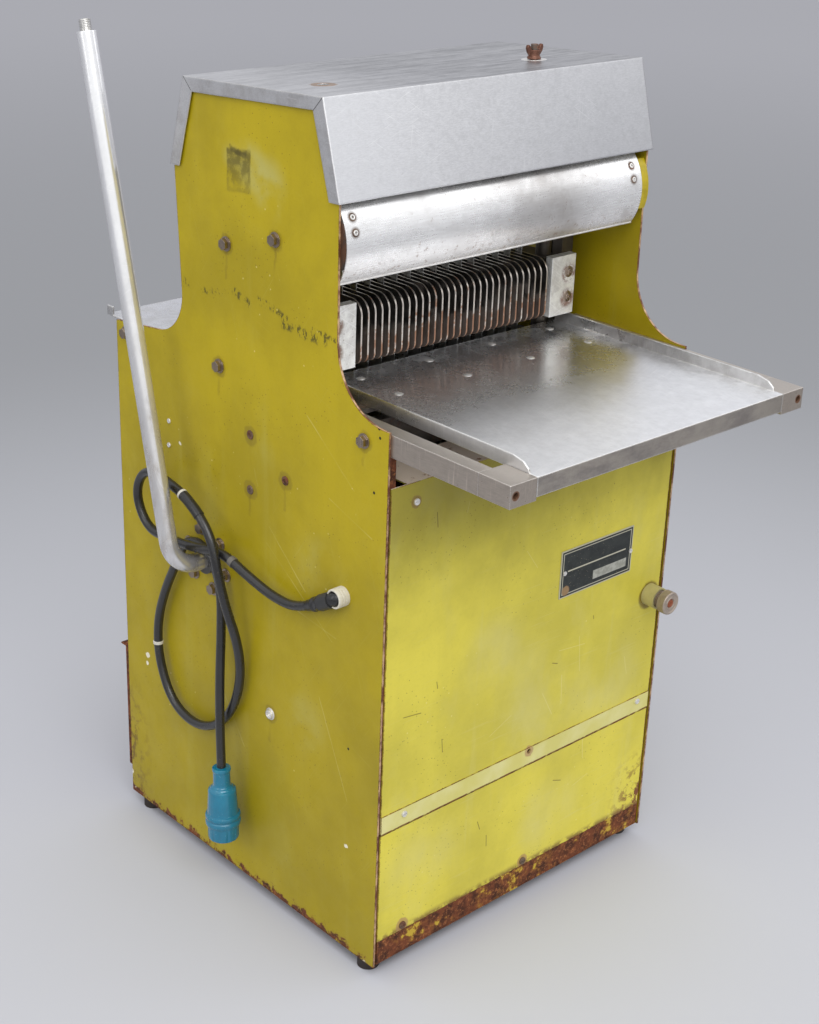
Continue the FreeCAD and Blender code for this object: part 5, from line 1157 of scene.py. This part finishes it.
def make_screws():
    """Every round-headed screw of the case, in place of the CAD's plain domes."""
    rusty = bmesh.new()
    bright = bmesh.new()
    for side, across in ((-1, 0), (1, CASE_WIDTH)):
        way = Vector((side, 0, 0))
        for back, up in SIDE_SOCKETS:
            screw_head(rusty, at(across, back, up), way, 0.0062, 0.0016, "hexagon", 0.0030, 0.0013)
        screw_head(bright, at(across, *CRANK_SCREW), way, 0.0088, 0.0012, "round", 0.0068, 0.0002)
        screw_head(bright, at(across, *CRANK_SCREW), way, 0.0068, 0.0044, "round", 0.0042, 0.0030)
    for back, up in SMALL_SIDE:
        screw_head(bright, at(0, back, up), LEFT, 0.0035, 0.0020, "slot", 0.0019, 0.0008)
    for across, up, proud in FRONT_HEADS:
        screw_head(bright, at(across, 1 - proud, up), FRONT, 0.0044, 0.0028, "slot", 0.0022, 0.0010)
    for across, up in KICK_HEADS:
        screw_head(rusty, at(across, 1, up), FRONT, 0.0055, 0.0028, "slot", 0.0028, 0.0011)
    for across, up in LABEL_HEADS:
        screw_head(bright, at(across, -0.5, up), FRONT, 0.0033, 0.0018, "slot", 0.0018, 0.0007)
    for across, rise in HOOD_SCREWS:
        angle = math.asin(rise / HOOD_RADIUS)
        way = Vector((0, -math.cos(angle), math.sin(angle)))
        spot = at(across, *HOOD_AXIS) + way * HOOD_RADIUS * MM
        screw_head(rusty, spot, way, 0.0050, 0.0006, "round", 0.0036, 0.0002)
        screw_head(bright, spot, way, 0.0035, 0.0014, "hexagon", 0.0018, 0.0010)
    mesh_piece("rusty_screws", rusty, "case", "fastener_steel", "dark_screw", ["round_head_screws"])
    mesh_piece("bright_screws", bright, "case", "fastener_steel", "bright_screw")


def make_comb_screws():
    """Socket screws with washers in the comb's two end plates."""
    made = bmesh.new()
    for across, up in COMB_SCREWS:
        place = at(across, COMB_FACE, up)
        screw_head(made, place, FRONT, 0.0078, 0.0010, "round", 0.0052, 0.0002)
        screw_head(made, place, FRONT, 0.0050, 0.0034, "hexagon", 0.0026, 0.0024)
    mesh_piece("comb_socket_screws", made, "comb", "fastener_steel", "bolt", ["comb_screws"])


make_screws()
make_comb_screws()


# Cover: wing nut, dimples, seams
COVER_TOP_FRONT, COVER_TOP_REAR = (124, 1149), (392, 1134)
NUT_HUB = ((5.1, 0), (9, 0), (9.4, 1.2), (9, 2.4), (7.6, 4), (7.2, 8), (8.2, 10.6), (8, 12), (5.1, 12), (5.1, 0))
NUT_WING = (
    (4.5, 4), (9.5, 5), (13.2, 9.5), (14.8, 14.5), (14, 18), (11.4, 18.8), (9, 16.5), (7.2, 12.6), (4.8, 11.8),
)


def cover_height(back):
    """The height of the cover's top at a place back from the front edge."""
    run = COVER_TOP_REAR[0] - COVER_TOP_FRONT[0]
    return COVER_TOP_FRONT[1] - (COVER_TOP_FRONT[1] - COVER_TOP_REAR[1]) * (back - COVER_TOP_FRONT[0]) / run


def cover_normal():
    """The way the cover's top faces."""
    run = COVER_TOP_REAR[0] - COVER_TOP_FRONT[0]
    fall = COVER_TOP_FRONT[1] - COVER_TOP_REAR[1]
    return Vector((0, fall, run)).normalized()


def make_wing_nut():
    """The cast wing nut: a flared hub and two short upright wings with rounded tips."""
    made = bmesh.new()
    foot = at(STUD_X, LID_Y, cover_height(LID_Y - 9) + 0.3)
    lathe(made, NUT_HUB, foot, UP, 40)
    for side in (-1, 1):
        faces = []
        for depth in (-2.1, 2.1):
            faces.append([made.verts.new(foot + Vector((side * x, depth, z)) * MM) for x, z in NUT_WING])
        made.faces.new(faces[0])
        made.faces.new(faces[1])
        for index in range(len(NUT_WING)):
            following = (index + 1) % len(NUT_WING)
            made.faces.new((faces[0][index], faces[0][following], faces[1][following], faces[1][index]))
    soften(mesh_piece("wing_nut_cast", made, "case", "wing_brass", "bronze", ["wing_nut"]), 0.0009)


def make_dimples():
    """The pressed rings round the cover's two holes: bright under the nut, stained at the free hole."""
    seat = cover_height(LID_Y)
    for name, across, inner, outer, finish in (("nut_dimple", STUD_X, 5.6, 17, "bright_screw"),
                                               ("hole_dimple", FREE_HOLE_X, 7.2, 15, "stained_steel")):
        rim = ((inner, 0.02), (inner, 0.12), (outer - 1.6, 0.30), (outer - 0.6, 0.42), (outer, 0.02))
        turned_piece(name, (rim, at(across, LID_Y, seat), cover_normal(), 64), finish, "stainless")


FLANGE_CORNERS = ((141, 1131.1), (375, 1118.0))


def make_seams():
    """The dark mitre lines where the cover's side flanges meet at its two upper corners."""
    made = bmesh.new()
    side = Vector((1, 0, 0))
    for across in (-4.03, 544.03):
        for outer, inner in zip((COVER_TOP_FRONT, COVER_TOP_REAR), FLANGE_CORNERS):
            start = at(across, *outer)
            end = at(across, *inner)
            along = (end - start).normalized()
            size = ((end - start).length * 0.94, 0.00012, 0.0007)
            block(made, (start + end) / 2, (along, side, along.cross(side)), size)
    mesh_piece("cover_seams", made, "case", "stainless", "seam", smooth=False)


def make_hood_hem():
    """The folded lower edge of the hood, as a slim bright bead."""
    angle = math.radians(217)
    radius = HOOD_RADIUS - 0.6
    middle = (HOOD_AXIS[0] + radius * math.cos(angle), HOOD_AXIS[1] + radius * math.sin(angle))
    profile = ((0, 0), (1.5, 0), (1.7, 0.6), (1.7, 516.4), (1.5, 517), (0, 517))
    turned_piece("hood_hem", (profile, at(5, *middle), -LEFT, 16), "bright_screw", "stainless")


make_wing_nut()
make_dimples()
make_seams()
make_hood_hem()


# Lever stud and push knob
LEVER_LEAN = math.radians(13.2)
LEVER_ROOT = (-58, 360, 490)
LEVER_LENGTH = 703


def make_stud():
    """The threaded stud on the lever's end, with a true helical thread."""
    up = Vector((0, math.sin(LEVER_LEAN), math.cos(LEVER_LEAN)))
    base = at(*LEVER_ROOT) + up * LEVER_LENGTH * MM
    steps, rows, pitch, deep = 40, 45, 2.0, 0.95

    def thread(step, lift):
        phase = (lift / MM / pitch - step / steps) % 1.0
        worn = 1 - min(1.0, (14.9 - lift / MM) / 1.2)
        return (8 - deep * abs(2 * phase - 1) - 0.7 * worn) * MM

    made = bmesh.new()
    collar = ((10, -0.4), (10, 0.3), (8.1, 0.5))
    rings = [hoop(made, base, up, wide * MM, lift * MM, steps) for wide, lift in collar]
    for row in range(rows):
        rings.append(hoop(made, base, up, thread, (0.6 + row * 14.2 / (rows - 1)) * MM, steps))
    rings.append(hoop(made, base, up, 6.4 * MM, 14.95 * MM, steps))
    skin(made, rings, True, True)
    mesh_piece("threaded_stud", made, "lever_assembly", "polished_steel", "rod", ["lever_stud"])


KNOB = (511, 418)
KNOB_CAP = (
    (0, -20), (5, -20), (5, 12), (12.2, 12), (12.5, 12.4), (12.5, 21), (12.5, 27.5), (16.2, 27.5), (17, 28.2),
    (17, 28.3), (17, 39), (17, 39.2), (16.4, 40.4), (15.4, 41), (14.4, 41), (13.6, 40.5), (13, 39.8), (9.5, 39.6),
    (9.1, 40.4), (7.6, 40.5), (7.2, 39.4), (6.4, 38.6), (0, 38.6),
)
KNOB_MIDDLE = ((6.3, 38.7), (5.6, 39.9), (3, 40.2), (1.6, 39.2), (0, 39.2))
GLAND_BODY = (
    (0, -12), (9, -12), (9, 0), (13, 0), (13, 5.4), (12.5, 5.9), (12.5, 6.7), (13, 7.2), (13, 9.6), (12.5, 10.1),
    (12.5, 10.9), (13, 11.4), (13, 15.8), (12.4, 16.7), (11.2, 17), (10.4, 16.6), (10.2, 11), (0, 11),
)


def make_knob():
    """The push switch's cap with a knurled rim and a stained middle, and the ridges on its plunger."""
    def knurl(step, height):
        return 0.0006 if 0.0282 < height < 0.0392 and step % 2 else 0.0

    seat = at(KNOB[0], 0, KNOB[1])
    ridges = bmesh.new()
    for low in (21.4, 23.4, 25.4):
        lathe(ridges, ((12.52, low), (13.0, low + 0.5), (13.0, low + 0.9), (12.52, low + 1.4)), seat, FRONT, 64)
    part = ("polished_steel", "switch_button")
    turned_piece("knurled_cap", (KNOB_CAP, seat, FRONT, 120, knurl), "knob", *part, ["switch_knob"])
    turned_piece("cap_middle", (KNOB_MIDDLE, seat, FRONT, 40), "copper", *part)
    mesh_piece("plunger_ridges", ridges, "switch_button", "polished_steel", "dark_screw")


def make_gland():
    """The pale gland body with a ribbed rim round its open mouth, and the rubber elbow that comes out of it."""
    seat = at(0, *GLAND_ELBOW[1:])
    turned_piece("gland_body", (GLAND_BODY, seat, LEFT, 64), "pale", "pale_plastic", replaced=["cable_gland"])
    made = bmesh.new()
    elbow = at(*GLAND_ELBOW)
    way = (gland_point(1) - gland_point(0)).normalized()
    rings = []
    for part in range(9):
        turn = part / 8
        place = (elbow - LEFT * 0.004) * (1 - turn) ** 2 + (elbow + LEFT * 0.0005) * 2 * turn * (1 - turn)
        place += (elbow + way * 0.010) * turn ** 2
        straight = (LEFT * (1 - turn) + way * turn).normalized()
        rings.append(hoop(made, place, straight, 0.0096 - 0.0002 * turn, 0, 32))
    skin(made, rings, True, True)
    mesh_piece("gland_elbow", made, "case", "dark_plastic", "tape")


make_stud()
make_knob()
make_gland()


# Floor and light
def make_floor():
    """A wide pale floor with a painted pool of light: it grows darker away from the machine."""
    made = bmesh.new()
    bmesh.ops.create_circle(made, cap_ends=True, segments=96, radius=40)
    mesh = bpy.data.meshes.new("floor")
    made.to_mesh(mesh)
    made.free()
    floor = bpy.data.objects.new("floor", mesh)
    bpy.context.scene.collection.objects.link(floor)
    s = Shader("floor")
    reach = s.length(s.x, s.y)
    # Painted light: the floor is paler round the machine and darker further away.
    s.tone = s.mix(s.band(reach, 0.2, 2.6), srgb(192, 193, 200), srgb(152, 153, 157))
    s.coat(s.band(reach, 2.0, 9.0), srgb(178, 178, 184))
    mesh.materials.append(s.finish(s.tone, 0.9, specular=0.1))


def make_world():
    """Pale surroundings: brightest above and to the front left, darker behind and to the right."""
    world = bpy.data.worlds.new("world")
    bpy.context.scene.world = world
    world.use_nodes = True
    nodes = Nodes(world.node_tree)
    place = nodes.new("ShaderNodeTexCoord").outputs["Generated"]
    bright_way = Vector((-0.50, -0.42, 0.76)).normalized()
    toward = nodes.new("ShaderNodeVectorMath", {0: place, 1: bright_way}, operation="DOT_PRODUCT")
    bright = nodes.band(toward.outputs["Value"], -0.35, 0.85)
    background = nodes.tree.nodes["Background"].inputs
    nodes.put(background["Color"], nodes.mix(bright, srgb(200, 201, 207), srgb(254, 255, 255)))
    background["Strength"].default_value = 1.0


LIGHTS = (
    ("key", (-1.3, -2.2, 3.0), (0, -0.1, 0.7), 52, 2.8, 2.0),
    ("left", (-3.0, 0.3, 2.2), (0, 0, 0.6), 9, 0.8, 1.8),
    ("right", (2.8, -1.6, 2.6), (0, 0, 0.7), 10, 1.8, 1.8),
    ("top", (0.0, -0.3, 4.2), (0, -0.1, 0.8), 24, 4.0, 4.0),
)


def make_lights():
    """Large soft lights, the strongest from the front and above."""
    for name, place, target, energy, wide, tall in LIGHTS:
        light = bpy.data.lights.new(name, "AREA")
        light.shape = "RECTANGLE"
        light.size, light.size_y = wide, tall
        light.energy = energy
        lamp = bpy.data.objects.new(name, light)
        place = Vector(place)
        turn = (place - Vector(target)).to_track_quat("Z", "Y").to_matrix().to_4x4()
        lamp.matrix_world = Matrix.Translation(place) @ turn
        bpy.context.scene.collection.objects.link(lamp)
    bpy.context.scene.view_settings.view_transform = "Standard"


make_floor()
make_world()
make_lights()
